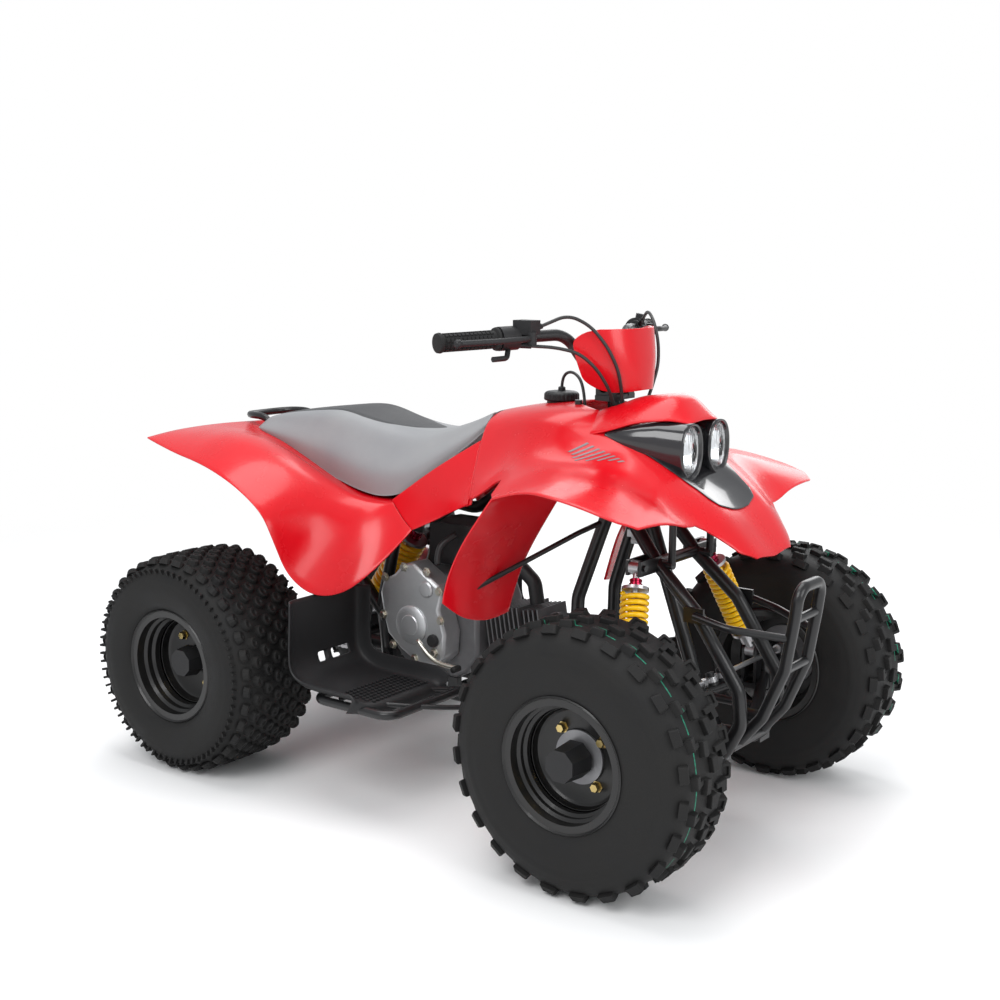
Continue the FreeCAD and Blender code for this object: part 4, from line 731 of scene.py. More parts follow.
def netOver(net, x, y, guess):
    # The surface point above a place in plan, found by a few Newton steps.
    u, v = guess
    small = search["step"]
    for _ in range(search["tries"]):
        here = netPoint(net, u, v)
        errorX, errorY = x - here.x, y - here.y
        if abs(errorX) + abs(errorY) < search["near"]:
            break
        farU, farV = min(u + small, 1), min(v + small, 1)
        alongU = (netPoint(net, farU, v) - netPoint(net, farU - small, v)) / small
        alongV = (netPoint(net, u, farV) - netPoint(net, u, farV - small)) / small
        size = alongU.x * alongV.y - alongU.y * alongV.x
        if abs(size) < search["flat"]:
            break
        u = min(max(u + (errorX * alongV.y - errorY * alongV.x) / size, 0), 1)
        v = min(max(v + (alongU.x * errorY - alongU.y * errorX) / size, 0), 1)
    return netPoint(net, u, v), (u, v)


hoodNet = wholeNet([
    [(62, 0, 768), (62, 55, 766), (63, 98, 750), (65, 122, 715), (68, 142, 672), (72, 162, 628), (78, 184, 597)],
    [(130, 0, 783), (130, 65, 781), (131, 112, 764), (133, 138, 722), (136, 162, 682), (141, 188, 652),
     (150, 216, 630)],
    [(200, 0, 790), (200, 75, 789), (200, 125, 775), (200, 152, 735), (200, 182, 700), (202, 222, 674),
     (206, 300, 640)],
    level(262, (0, 796), (78, 794), (128, 774), (158, 728), (200, 692), (265, 674), (375, 648)),
    level(340, (0, 792), (70, 782), (115, 750), (150, 712), (200, 692), (275, 688), (375, 672)),
    level(400, (0, 752), (55, 748), (95, 732), (130, 716), (195, 686), (275, 682), (375, 666)),
    level(452, (0, 700), (45, 704), (85, 706), (124, 698), (188, 680), (275, 678), (375, 656)),
    level(508, (0, 657), (45, 662), (86, 671), (120, 665), (176, 648), (265, 662), (375, 644)),
    level(555, (0, 628), (45, 632), (80, 638), (112, 631), (154, 606), (260, 634), (375, 628)),
    level(602, (0, 592), (38, 596), (76, 598), (102, 589), (124, 568), (260, 598), (375, 596)),
    level(646, (0, 536), (35, 539), (62, 540), (78, 532), (96, 520), (260, 558), (375, 560)),
])
browNet = wholeNet([
    [(282, 0, 782), (282, 50, 781), (282, 100, 764), (282, 132, 738)],
    [(312, 0, 803), (312, 45, 801), (312, 98, 777), (312, 128, 745)],
    [(352, 0, 811), (352, 42, 808), (352, 88, 783), (350, 116, 754)],
    [(400, 0, 817), (400, 38, 813), (400, 76, 796), (398, 100, 772)],
    [(446, 0, 824), (446, 32, 819), (446, 60, 800), (444, 84, 778)],
    [(470, 0, 800), (470, 26, 798), (470, 50, 790), (468, 70, 778)],
    [(490, 0, 776), (490, 22, 775), (490, 40, 774), (488, 54, 773)],
])
flapNet = [
    [(169, 170, 398), (164, 215, 390), (156, 260, 396), (148, 300, 412), (138, 332, 441)],
    [(191, 168, 476), (186, 212, 474), (178, 258, 475), (166, 305, 476), (150, 340, 478)],
    [(217, 166, 530), (212, 212, 532), (206, 260, 534), (194, 308, 534), (178, 346, 532)],
    [(250, 164, 586), (246, 212, 592), (240, 262, 594), (230, 312, 592), (214, 354, 584)],
    [(284, 162, 640), (282, 212, 660), (278, 264, 668), (274, 314, 664), (268, 358, 652)],
]
stripNet = [
    [(-149.4, 138, 575), (-127.4, 147, 558), (-103.4, 155, 540), (-77.4, 160, 524)],
    [(-84, 139, 620), (-64, 147, 595), (-46, 153, 568), (-30, 157, 545)],
    [(-10, 136, 668), (4, 148, 634), (14, 157, 600), (24, 163, 573)],
    [(65.8, 122, 714), (68.9, 142, 672), (72.9, 162, 628), (79.5, 183, 596)],
]
tailNet = wholeNet([
    [(-640, 0, 690), (-645, 70, 692), (-655, 140, 693), (-668, 215, 690), (-676, 275, 685), (-680, 322, 678)],
    [(-585, 0, 684), (-586, 70, 687), (-588, 140, 694), (-590, 215, 696), (-589, 285, 684), (-587, 342, 660)],
    [(-480, 0, 662), (-480, 70, 664), (-480, 140, 674), (-480, 220, 697), (-476, 300, 686), (-473, 362, 647)],
    [(-400, 0, 634), (-400, 70, 634), (-400, 140, 640), (-398, 215, 676), (-390, 305, 668), (-378, 380, 626)],
    [(-335, 0, 600), (-335, 70, 600), (-334, 140, 612), (-330, 210, 644), (-325, 300, 642), (-320, 381, 598)],
    [(-285, 0, 582), (-285, 70, 582), (-284, 139, 592), (-280, 202, 614), (-278, 290, 608), (-275, 378, 563)],
    [(-245, 0, 572), (-245, 70, 572), (-245, 138, 578), (-243, 192, 590), (-250, 275, 565), (-258, 369, 515)],
    [(-215, 0, 570), (-215, 70, 570), (-215, 138, 574), (-212, 180, 572), (-222, 255, 522), (-246, 340, 432)],
    [(-190, 0, 570), (-190, 70, 570), (-188, 138, 573), (-182, 170, 556), (-184, 225, 484), (-200, 300, 388)],
    [(-168, 0, 570), (-168, 70, 570), (-165, 138, 574), (-152, 158, 550), (-138, 185, 496), (-150, 228, 412)],
    [(-151, 0, 570), (-151, 70, 570), (-150, 138, 575), (-128, 147, 558), (-104, 155, 540), (-78, 160, 524)],
])
hood = {
    "columns": 61, "rows": 96, "reach": 360, "opening": 0.070, "capHole": 0.031, "capX": 0.172, "capZ": 0.78,
    "rearEdge": [(0, 64), (98, 65), (122, 67), (142, 70), (162, 74), (180, 81), (190, 98), (200, 119), (206, 131),
                 (243, 205), (322, 242), (360, 272)],  # distance from the middle and x
    "frontEdge": [(0, 642), (66, 640), (96, 622), (136, 572), (150, 560), (330, 553), (352, 528), (360, 490)],
}
plasticWall = 0.0035
stemFoot, stemTilt, stemRise = Vector((0.49121, 0, 0.27)), math.radians(20), 0.54
stemUp = Vector((-math.sin(stemTilt), 0, math.cos(stemTilt)))
stemTop = stemFoot + stemUp * (stemRise / stemUp.z)


def trimmedSheet(name, net, shape, material, lift=0.0):
    # A sheet over the net, trimmed in plan by a rear and a front edge given against the distance from the middle.
    rows, columns, reach = shape["rows"], shape["columns"], shape["reach"]
    spread = [reach * j / (columns - 1) for j in range(columns)]
    for edge in sorted({y for y, _ in shape["rearEdge"] + shape["frontEdge"]}):
        nearest = min(range(columns), key=lambda j: abs(spread[j] - edge))
        spread[nearest] = edge
    across = [-y for y in reversed(spread[1:])] + spread
    trials = [(i / search["rows"], j / search["columns"])
              for i in range(search["rows"] + 1) for j in range(search["columns"] + 1)]
    samples = [(netPoint(net, *trial), trial) for trial in trials]
    guess = []
    for y in across:
        x = between(shape["rearEdge"], abs(y)) / 1000
        start = min(samples, key=lambda sample: (sample[0].x - x) ** 2 + (sample[0].y - y / 1000) ** 2)
        guess.append(start[1])
    points = []
    for i in range(rows):
        t = i / (rows - 1)
        for j, y in enumerate(across):
            rear, front = between(shape["rearEdge"], abs(y)), between(shape["frontEdge"], abs(y))
            point, guess[j] = netOver(net, (rear + (front - rear) * t) / 1000, y / 1000, guess[j])
            points.append(point + Vector((0, 0, lift)))
    sheet = meshObject(name, points, gridFaces(rows, len(across)), material)
    sheet.data.flip_normals()
    return sheet


def plugCutter(name, centre, axis, radius, reach):
    # A short drum that cuts a round hole.
    points, faces = outlineStack(circlePoints(radius, 72), [(1, -reach), (1, reach)])
    cutter = outward(meshObject(name, points, faces, None, False))
    cutter.data.transform(Matrix.Translation(centre) @ axis.to_track_quat("Z", "Y").to_matrix().to_4x4())
    return cutter


def stemPlug():
    return plugCutter("stemOpening", stemTop, stemUp, hood["opening"], 0.12)


def makeHood():
    cover = trimmedSheet("hoodCover", hoodNet, hood, finish["redPlastic"])
    cover = settle(thicken(cover, plasticWall))
    capPlace = Vector((hood["capX"], 0, hood["capZ"]))
    capPlug = plugCutter("capOpening", capPlace, Vector((0, 0, 1)), hood["capHole"], 0.06)
    cover = cutAway(outward(cover), [stemPlug(), capPlug])
    print("hood cover", len(cover.data.polygons), "faces")
    return cover


def thinSheet(name, points, rows, columns, material, flip, wall, *bevel):
    # A walled sheet over a grid of points; flip turns its outer face round.
    sheet = meshObject(name, points, gridFaces(rows, columns), material)
    if flip:
        sheet.data.flip_normals()
    return settle(thicken(sheet, wall, *bevel))


def netSheet(name, net, rows, columns, flip):
    points = [netPoint(net, i / (rows - 1), j / (columns - 1)) for i in range(rows) for j in range(columns)]
    return thinSheet(name, points, rows, columns, finish["redPlastic"], flip, plasticWall)


lipShape = {"columns": 24, "inset": 0.0034, "reaches": (-0.010, 0, 0.011), "wall": 0.0014, "bevel": 0.0003,
            "step": 0.01}


def seamLip(net, side):
    # A narrow tongue behind the strip's front edge, so that its seam with the hood isn't a slit.
    columns, step = lipShape["columns"], lipShape["step"]
    rows = [[] for _ in lipShape["reaches"]]
    for j in range(columns):
        v = j / (columns - 1)
        edge, farV = netPoint(net, 1, v), min(v + step, 1)
        ahead = (edge - netPoint(net, 1 - step, v)).normalized()
        inward = ahead.cross(netPoint(net, 1, farV) - netPoint(net, 1, farV - step)).normalized()
        if inward.y * side > 0:
            inward.negate()
        for row, reach in zip(rows, lipShape["reaches"]):
            row.append(edge + ahead * reach + inward * lipShape["inset"])
    return thinSheet("seamLip", sum(rows, []), len(rows), columns, finish["redPlastic"], side > 0,
                     lipShape["wall"], lipShape["bevel"])


hoodStripes = [  # both ends in plan, mm
    ((300, 163), (325, 137)), ((309, 166), (337, 137)), ((315, 172), (349, 137)), ((323, 176), (361, 137)),
    ((342, 170), (373, 138)), ((362, 162), (384, 139)), ((381, 155), (395, 141)), ((398, 151), (406, 143)),
]
stripeShape = {"halfWidth": 0.0024, "rows": 13, "lift": (0.0002, 0.0003), "wall": 0.0004, "bevel": 0.0001}


def stripeSheet(start, end, side):
    # A grey stripe that lies on the hood between two places.
    start, end = (Vector((x / 1000, side * y / 1000)) for x, y in (start, end))
    rows, (out, up) = stripeShape["rows"], stripeShape["lift"]
    guess = (0.5, 0.5 + side * 0.25)
    points = []
    for i in range(rows):
        for shift in (-1, 0, 1):
            place = start.lerp(end, i / (rows - 1)) + Vector((1, 0)) * stripeShape["halfWidth"] * shift
            point, guess = netOver(hoodNet, place.x, place.y, guess)
            points.append(point + Vector((0, side * out, up)))
    return thinSheet("hoodStripe", points, rows, 3, finish["stripePaint"], side < 0,
                     stripeShape["wall"], stripeShape["bevel"])


brow = cutAway(outward(netSheet("browShell", browNet, 44, 48, True)), [stemPlug()])
frontPlastics = [makeHood(), brow]
for side in (1, -1):
    frontPlastics.append(seamLip(sideNet(stripNet, side), side))
    frontPlastics.append(netSheet("fenderFlap", sideNet(flapNet, side), 40, 36, side > 0))
    frontPlastics.append(netSheet("shroudStrip", sideNet(stripNet, side), 40, 24, side > 0))
for side in (1, -1):
    frontPlastics += [stripeSheet(*ends, side) for ends in hoodStripes]
frontFairing = declare(joined("frontFairing", frontPlastics), "chassis", "red_plastic", "front_fairing")
rearFairing = declare(netSheet("rearFairing", tailNet, 110, 120, True), "chassis", "red_plastic", "rear_fairing")
print("plastics ready")


# Seat

seatShape = {
    "stations": [  # x, underside, top, half width low, half width high, all in mm
        (-600, 680, 690, 58, 30), (-588, 676, 698, 82, 48), (-570, 676, 706, 96, 62), (-530, 672, 720, 118, 76),
        (-440, 648, 734, 128, 82), (-335, 610, 743, 130, 84), (-235, 582, 724, 129, 74), (-165, 580, 714, 128, 66),
        (-100, 604, 714, 126, 62), (-35, 652, 731, 118, 60), (25, 698, 753, 108, 62), (58, 728, 766, 98, 66)],
    "rearEnd": (-604, 681, 687, 40, 16), "frontEnd": (62, 734, 766, 90, 64),
    "panel": [(-0.60, 0.035), (-0.575, 0.055), (-0.5, 0.070), (-0.38, 0.078), (-0.28, 0.076), (-0.22, 0.064),
              (-0.165, 0.040), (-0.125, 0.014), (-0.11, -0.01), (0.04, -0.01), (0.048, 0.03), (0.06, 0.062)],
    "seamDepth": 0.0016, "seamWidth": 0.0035, "offPanel": -0.05,
}


def seatFinish():
    # Grey vinyl, black where the panelEdge attribute is above zero.
    material, tree, shader = newMaterial("seatVinyl")
    where = coordinates(tree)
    edge = addNode(tree, "ShaderNodeAttribute", attribute_name="panelEdge").outputs["Fac"]
    blotch = noiseFactor(tree, where, 7, 5, 0.6)
    change = rangeNode(tree, blotch, 0, 1)
    grey = mixColour(tree, change, (0.235, 0.24, 0.25, 1), (0.275, 0.28, 0.285, 1))
    dark = mixColour(tree, change, (0.02, 0.021, 0.023, 1), (0.034, 0.035, 0.038, 1))
    leather = addNode(tree, "ShaderNodeTexVoronoi", {"Scale": 420, "Vector": where}, feature="DISTANCE_TO_EDGE")
    normal = bumpNode(tree, leather.outputs["Distance"], 0.35, 0.0005)
    normal = bumpNode(tree, noiseFactor(tree, where, 1100, 2), 0.2, 0.0003, normal)
    colour = mixColour(tree, rangeNode(tree, edge, 0, 1, -0.0004, 0.0004), grey, dark)
    for label, socket in (("Base Color", colour), ("Normal", normal),
                          ("Roughness", rangeNode(tree, blotch, 0.42, 0.56))):
        tree.links.new(socket, shader.inputs[label])
    return material


def seatRing(station):
    x, low, high, wideLow, wideHigh = station
    rise, narrowing = high - low, wideLow - wideHigh
    half = [(0, low), (wideLow * 0.6, low), (wideLow - 5, low), (wideLow - 0.5, low + min(5, rise * 0.2)),
            (wideLow + 1, low + rise * 0.35), (wideHigh + narrowing * 0.62, low + rise * 0.66),
            (wideHigh + narrowing * 0.28, low + rise * 0.88), (wideHigh - 6, high - 3),
            (wideHigh * 0.6, high - 0.8), (0, high)]
    return [(x, y, z) for y, z in smoothLine(half, 5)]


def makeSeat():
    stations = [seatShape["rearEnd"], *seatShape["stations"], seatShape["frontEnd"]]
    across = zip(*[seatRing(station) for station in stations])
    rings = []
    for row in zip(*[smoothLine(line, 6) for line in across]):
        rings.append([millimetres(point) for point in list(row) + [(x, -y, z) for x, y, z in reversed(row[1:-1])]])
    seat = outward(meshObject("seatCushion", *stackRings(rings), seatFinish()))
    middles = [(x / 1000, (low + high) / 2000) for x, low, high, _, _ in seatShape["stations"]]
    edges = []
    for vert in seat.data.vertices:
        x, y, z = vert.co
        onTop = z > between(middles, x)
        edge = between(seatShape["panel"], x) - abs(y) if onTop else seatShape["offPanel"]
        edges.append(edge)
        if onTop and abs(edge) < seatShape["seamWidth"]:
            vert.co.z -= seatShape["seamDepth"] * (1 - abs(edge) / seatShape["seamWidth"])
    seat.data.attributes.new("panelEdge", "FLOAT", "POINT").data.foreach_set("value", edges)
    softer = seat.modifiers.new("softer", "SUBSURF")
    softer.levels = softer.render_levels = 1
    seat = settle(seat)
    seat.data.shade_smooth()
    return seat


seatCushion = declare(makeSeat(), "chassis", "seat_cover", "seat")
print("seat ready")


# Nose panel and lamps

panelShape = {
    "columns": 34, "rows": 60, "reach": 115, "lift": 0.0012, "wall": 0.0011,
    "rearEdge": [(0, 430), (60, 400), (100, 352), (115, 345)],
    "frontEdge": [(0, 570), (30, 569), (65, 561), (78, 546), (83, 525), (90, 507), (97, 470), (101, 434), (106, 383),
                  (115, 346)],
}
lampShape = {
    "y": 51, "z": 722, "lens": 489, "halfWide": 31, "halfHigh": 45, "turns": 64, "power": 2.3, "glass": 1.8,
    "barrel": [  # x, y, z, half width, half height
        (344, 109, 747, 3, 4), (352, 106, 746, 8, 8), (385, 88, 738, 23, 25), (412, 75, 733, 32, 37),
        (440, 62, 729, 37, 46), (468, 54, 724, 38, 50), (488, 51, 722, 37, 51), (496, 51, 722, 36, 50)],
    "bulb": [(3.5, 0), (5.5, 2), (6.5, 7), (5.5, 12), (3, 14.5)], "bulbHeights": (-17, 17),
}


def ovalRing(x, y, z, wide, high, side):
    points = []
    for c, s in circlePoints(1, lampShape["turns"]):
        across, over = (math.copysign(abs(value) ** (2 / lampShape["power"]), value) for value in (c, s))
        points.append(millimetres((x, y * side + across * wide, z + over * high)))
    return points


def ovalStack(name, stations, side, material, closed=True):
    rings = [ovalRing(*station, side) for station in stations]
    return outward(meshObject(name, *stackRings(rings, closed), material))


def lampStations(sizes):
    # Rings about the lamp's axis from (x ahead of the lens's edge, half width, half height).
    return [(lampShape["lens"] + x, lampShape["y"], lampShape["z"], wide, high) for x, wide, high in sizes]


def makeLampPieces():
    cowls, mirrors, lenses = [], [], []
    y, z, front = lampShape["y"], lampShape["z"], lampShape["lens"]
    wide, high = lampShape["halfWide"], lampShape["halfHigh"]
    mouth = [(5, wide + 1, high + 1), (-19, wide - 2, high - 2), (-27, wide - 8, high - 10)]
    bowl = [(-3, wide, high), (-9, wide - 2, high - 3), (-17, wide - 8, high - 11), (-23, wide - 17, high - 24),
            (-25, 5, 6)]
    back = [(-26, 5, 6), (-26, wide - 16, high - 22), (-18, wide - 7, high - 10), (-3, wide + 0.6, high + 0.6)]
    dome = [(-1, wide, high), (2, wide - 1.5, high - 1.5), (4.5, wide - 7, high - 8), (6.5, wide - 17, high - 21),
            (7, 5, 7)]
    hollow = [(x - lampShape["glass"], w, h) for x, w, h in reversed(dome)]
    for side in (1, -1):
        cowls.append(ovalStack("lampBarrel", lampShape["barrel"] + lampStations(mouth), side, finish["smokePlastic"]))
        mirrors.append(ovalStack("lampMirror", lampStations(bowl + back + bowl[:1]), side, finish["lampMirror"], False))
        for height in lampShape["bulbHeights"]:
            mirrors.append(turned("lampBulb", lampShape["bulb"], along((front - 24, y * side, z + height), (1, 0, 0)),
                                  finish["bulbGlass"]))
        lenses.append(ovalStack("lampLens", lampStations(dome + hollow + dome[:1]), side, finish["clearLens"], False))
    cowls.append(roundBox("lampBridge", (44, 44, 66), (0.455, 0, 0.729), finish["smokePlastic"], 0.006))
    sheet = trimmedSheet("nosePanel", hoodNet, panelShape, finish["smokePlastic"], panelShape["lift"])
    skinned = thicken(sheet, panelShape["wall"], 0.0004)
    skinned.modifiers["wall"].offset = 1
    cowls.append(outward(settle(skinned)))
    return joined("lampCowl", cowls), joined("lampMirrors", mirrors), joined("lampLenses", lenses)


def lensFinish():
    # Clear plastic with upright flutes.
    material, tree, shader = newMaterial("clearLens", Base_Color=(0.96, 0.97, 0.98, 1), Transmission_Weight=1,
                                         IOR=1.45)
    where = coordinates(tree)
    haze = noiseFactor(tree, where, 60, 3)
    flutes = addNode(tree, "ShaderNodeTexWave", {"Scale": 55, "Vector": where}, bands_direction="Y").outputs["Fac"]
    tree.links.new(rangeNode(tree, haze, 0.015, 0.05), shader.inputs["Roughness"])
    tree.links.new(bumpNode(tree, flutes, 0.25, 0.0008), shader.inputs["Normal"])
    return material


finish["clearLens"] = lensFinish()
lampCowl, lampMirrors, lampLenses = makeLampPieces()
declare(lampCowl, "chassis", "smoke_plastic", "lamp_cowl")
declare(lampLenses, "chassis", "clear_lens", "headlamps")
declare(lampMirrors, "chassis", "steel")
print("lamps ready")


# Handlebar, grips and pad

barEnd, barBend = Vector((150, 358, 917)), Vector((250.7, 106, 926))
barRun = (barEnd - barBend).normalized()


def barPoint(distance, side, ahead=0, up=0):
    # A point in mm beside the bar's outer run, measured in from its end.
    place = barEnd - barRun * distance + Vector((barRun.y, -barRun.x, 0)) * ahead + Vector((0, 0, up))
    return Vector((place.x, place.y * side, place.z))


ribTurns = 96


def ribbedStack(name, bands, lobes, gap, matrix, material):
    # Rings round Z from bands of (height, radius, rib height); the ribs stand round the axis with a gap between.
    rings = []
    for height, radius, rise in bands:
        ring = []
        for step, (x, y) in enumerate(circlePoints(1, ribTurns)):
            own = radius + (rise if gap < step / ribTurns * lobes % 1 < 1 - gap else 0)
            ring.append(millimetres((own * x, own * y, height)))
        rings.append(ring)
    obj = outward(meshObject(name, *stackRings(rings), material))
    obj.data.transform(matrix)
    return sharpen(obj, 30)


gripShape = {
    "core": 15, "rib": 1.9, "pitch": 8.4, "land": 6.2, "slope": 0.3, "first": 10, "last": 108, "ribs": 10, "gap": 0.16,
    "inner": [(-3, 13, 0), (-2, 17.5, 0), (3, 18.5, 0), (5, 18, 0), (7, 15, 0)],  # height, radius, rib
    "outer": [(115, 15.5, 0), (117.5, 20.5, 0), (120.5, 21.5, 0), (122, 20.8, 0), (122.2, 12, 0)],
}


def makeGrips():
    core, rib, land, slope = (gripShape[key] for key in ("core", "rib", "land", "slope"))
    bands, place = list(gripShape["inner"]), gripShape["first"]
    while place < gripShape["last"]:
        bands += [(place, core, 0), (place + slope, core, rib), (place + land, core, rib),
                  (place + land + slope, core, 0)]
        place += gripShape["pitch"]
    bands += gripShape["outer"]
    grips = []
    for side in (1, -1):
        start = barPoint(0, side)
        grips.append(ribbedStack("barGrip", bands, gripShape["ribs"], gripShape["gap"],
                                 along(start, barPoint(10, side) - start), finish["gripRubber"]))
    return joined("barGrips", grips)


padShape = {
    "heights": [(936, 1.0, -1), (900, 1.0, 4), (860, 0.86, 10), (822, 0.62, 12)],  # height, spread, ahead
    "arch": [(0, 346), (44, 342), (82, 318), (112, 268)], "wall": 0.009, "rim": 0.0032, "corner": 0.11,
    "rows": 34, "columns": 64,
}


def makePad():
    net = wholeNet([[(x + ahead, y * spread, height) for y, x in padShape["arch"]]
                    for height, spread, ahead in padShape["heights"]])
    rows, columns, corner = padShape["rows"], padShape["columns"], padShape["corner"]
    points = []
    for i in range(rows):
        u = i / (rows - 1)
        near = min(u, 1 - u)
        inset = 0
        if near < corner * 2:
            inset = corner * (1 - math.sqrt(1 - ((corner * 2 - near) / (corner * 2)) ** 2))
        for j in range(columns):
            points.append(netPoint(net, u, inset + (1 - 2 * inset) * j / (columns - 1)))
    pad = meshObject("barPad", points, gridFaces(rows, columns), finish["redPlastic"])
    thicken(pad, padShape["wall"], padShape["rim"]).modifiers["rim"].segments = 4
    return outward(settle(pad))


barGrips, barPad = makeGrips(), makePad()
declare(barGrips, "steering", "grip_rubber", "grips")
declare(barPad, "steering", "red_plastic", "bar_cover")
switchButton = turned("switchButton", [(6, -2), (6, 3), (5, 4.5), (2, 5)], along(barPoint(137, 1, 8, 21), (0.3, 0, 1)),
                      finish["redPlastic"], 24)
declare(switchButton, "steering", "red_plastic")


# Fuel cap with its breather hose

capBands = [(776, 29, 0), (789, 29, 0), (790, 33, 0), (792, 33.6, 1.2), (802, 33.2, 1.2), (805, 31.5, 0.8),
            (807, 29, 0), (808, 22, 0), (808.4, 12, 0), (808.6, 7.5, 0), (815, 7, 0), (816.5, 5, 0)]
breatherRun = [(172, 0, 812), (173, -1, 828), (184, -5, 844), (206, -12, 848), (228, -19, 836), (240, -25, 812),
               (246, -29, 782), (250, -30, 750)]
fuelCap = joined("fuelCap", [
    ribbedStack("capBody", capBands, 24, 0.22, Matrix.Translation((hood["capX"], 0, 0)), finish["blackPlastic"]),
    rod("breather", breatherRun, 3, finish["cableJacket"])])
declare(fuelCap, "chassis", "black_plastic", "fuel_cap")


# Small fixings, wheel nuts and tail lamp

def hexHead(name, acrossFlats, height, washer):
    # A six-sided head, chamfered at its top, on a washer of that radius.
    corner = acrossFlats / 2 / math.cos(math.radians(30))
    levels = [(washer, -0.0006), (washer, 0.0012), (corner, 0.00125), (corner, height * 0.85), (corner * 0.86, height)]
    return kitShape(name, *outlineStack(circlePoints(1, 6), levels))


fixingShapes = {
    "boltHead": hexHead("boltHead", 0.010, 0.0055, 0.0085),
    "wheelNut": hexHead("wheelNut", 0.0145, 0.012, 0.0105),
    "treadStud": hexHead("treadStud", 0.007, 0.0028, 0.0048),
}
wheelFixings = {"count": 4, "circle": 57, "first": 38, "frontFace": 395, "rearFace": 359.5}


def makeNuts(name, axle, face, side):
    spots = []
    for step in range(wheelFixings["count"]):
        angle = math.radians(wheelFixings["first"] + 360 * step / wheelFixings["count"])
        place = (axle[0] * 1000 + wheelFixings["circle"] * math.cos(angle), face * side,
                 axle[2] * 1000 + wheelFixings["circle"] * math.sin(angle))
        spots.append((place, (0, side, 0)))
    return fixings(name, fixingShapes["wheelNut"], spots, finish["brassNut"])


for side, sideName in ((1, "left"), (-1, "right")):
    nuts = makeNuts("frontNuts_" + sideName, frontAxle, wheelFixings["frontFace"], side)
    declare(nuts, "front_wheel_" + sideName, "steel")
rearNuts = [makeNuts("rearNutSet", rearAxle, wheelFixings["rearFace"], side) for side in (1, -1)]
declare(joined("rearNuts", rearNuts), "rear_wheels", "steel")

tailLamp = joined("tailLamp", [
    roundBox("tailLens", (15, 118, 26), (-0.6505, 0, 0.664), finish["redLens"], 0.004),
    roundBox("tailBase", (5, 122, 30), (-0.6448, 0, 0.664), finish["blackPlastic"], 0.0015)])
declare(tailLamp, "chassis", "red_lens", "tail_lamp")
print("bars, cap and fixings ready")


# Footboards

trayShape = {
    "run": [(-212, 398), (-213, 350), (-214, 300), (-208, 264), (-190, 242), (-160, 230), (-120, 227), (-60, 227),
            (-20, 227), (-2, 226), (8, 219), (10, 206)],  # x and height along the middle of the board
    "across": [(172, 32, 0), (174, 24, 0), (178, 8, 0), (188, 0, 0), (240, 0, 0), (300, 0, 0), (352, 0, -4),
               (372, 3, -10), (382, 10, -16), (388, 18, -20), (391, 16, -22)],  # y, lift, pull back at the front
    "wall": 0.003, "rim": 0.0009, "slots": [(206, 258), (276, 296)], "slotX": -205, "slotLow": 258, "slotHigh": 278,
    "lowLift": 0.4, "lowFrom": 0.9, "pullGrowth": 3,  # the lift shrinks and the pull grows over the front edge
}
treadShape = {"rows": 7, "columns": 15, "start": (-92, 196), "step": (13, 11), "shift": 5, "height": 227.6}
braceRuns = [  # radius, and points of the left side, in mm
    (5, [(-30, 350, 221), (40, 300, 214), (118, 214, 206), (124, 206, 214), (126, 200, 262)]),
    (5, [(-40, 250, 221), (60, 130, 214), (72, 112, 211)]),
    (6, [(-120, 60, 214), (-100, 200, 219), (-90, 360, 221)]),
]


def makeTray(side):
    run, across = smoothLine(trayShape["run"], 4), smoothLine(trayShape["across"], 3)
    points = []
    for index, (x, z) in enumerate(run):
        before, after = run[max(index - 1, 0)], run[min(index + 1, len(run) - 1)]
        slope = Vector((after[0] - before[0], 0, after[1] - before[1])).normalized()
        rise = Vector((-slope.z, 0, slope.x)) if slope.x >= 0 or slope.z < 0 else Vector((0, 0, 1))
        reach = index / (len(run) - 1)
        share = 1 if reach < trayShape["lowFrom"] else trayShape["lowLift"]
        drawn = reach * reach * trayShape["pullGrowth"]
        for y, lift, pull in across:
            points.append((Vector((x + pull * drawn, y * side, z)) + rise * lift * share) / 1000)
    tray = meshObject("footTray", points, gridFaces(len(run), len(across)), finish["blackPlastic"])
    if side > 0:
        tray.data.flip_normals()
    tray = outward(settle(thicken(tray, trayShape["wall"], trayShape["rim"])))
    low, high = trayShape["slotLow"], trayShape["slotHigh"]
    cutters = []
    for start, end in trayShape["slots"]:
        centre = millimetres((trayShape["slotX"], side * (start + end) / 2, (low + high) / 2))
        cutters.append(roundBox("slotCutter", (60, end - start, high - low), centre, finish["blackPlastic"], 0.004))
    return cutAway(tray, cutters)


def makeTreads(side):
    spots = []
    (x, y), (stepX, stepY) = treadShape["start"], treadShape["step"]
    for row in range(treadShape["rows"]):
        shift = treadShape["shift"] if row % 2 else 0
        for column in range(treadShape["columns"]):
            place = (x + row * stepX, side * (y + shift + column * stepY), treadShape["height"])
            spots.append((place, (0, 0, 1)))
    return fixings("footTread", fixingShapes["treadStud"], spots, finish["blackPlastic"])


trays = [makeTray(side) for side in (1, -1)] + [makeTreads(side) for side in (1, -1)]
braces = [rod("footBrace", [(x, y * side, z) for x, y, z in run], radius, finish["blackPaint"])
          for side in (1, -1) for radius, run in braceRuns]
declare(joined("footBoards", trays + braces), "chassis", "black_plastic", "footwells")


# Rear grab bar

grabHalf = [(-560, 70, 678), (-566, 70, 700), (-586, 72, 708), (-622, 68, 708), (-648, 52, 706), (-656, 24, 705)]
grabBar = rod("grabBar", grabHalf + [(x, -y, z) for x, y, z in reversed(grabHalf)], 8, finish["blackPaint"])
declare(grabBar, "chassis", "black_paint")


# Engine fittings

sideFace, outRight = -135, (0, -1, 0)
coverBolts = [(-170, 410), (-120, 438), (-60, 436), (-28, 400), (-24, 340), (-40, 270), (-92, 250), (-150, 270),
              (-176, 330)]  # x and height in mm


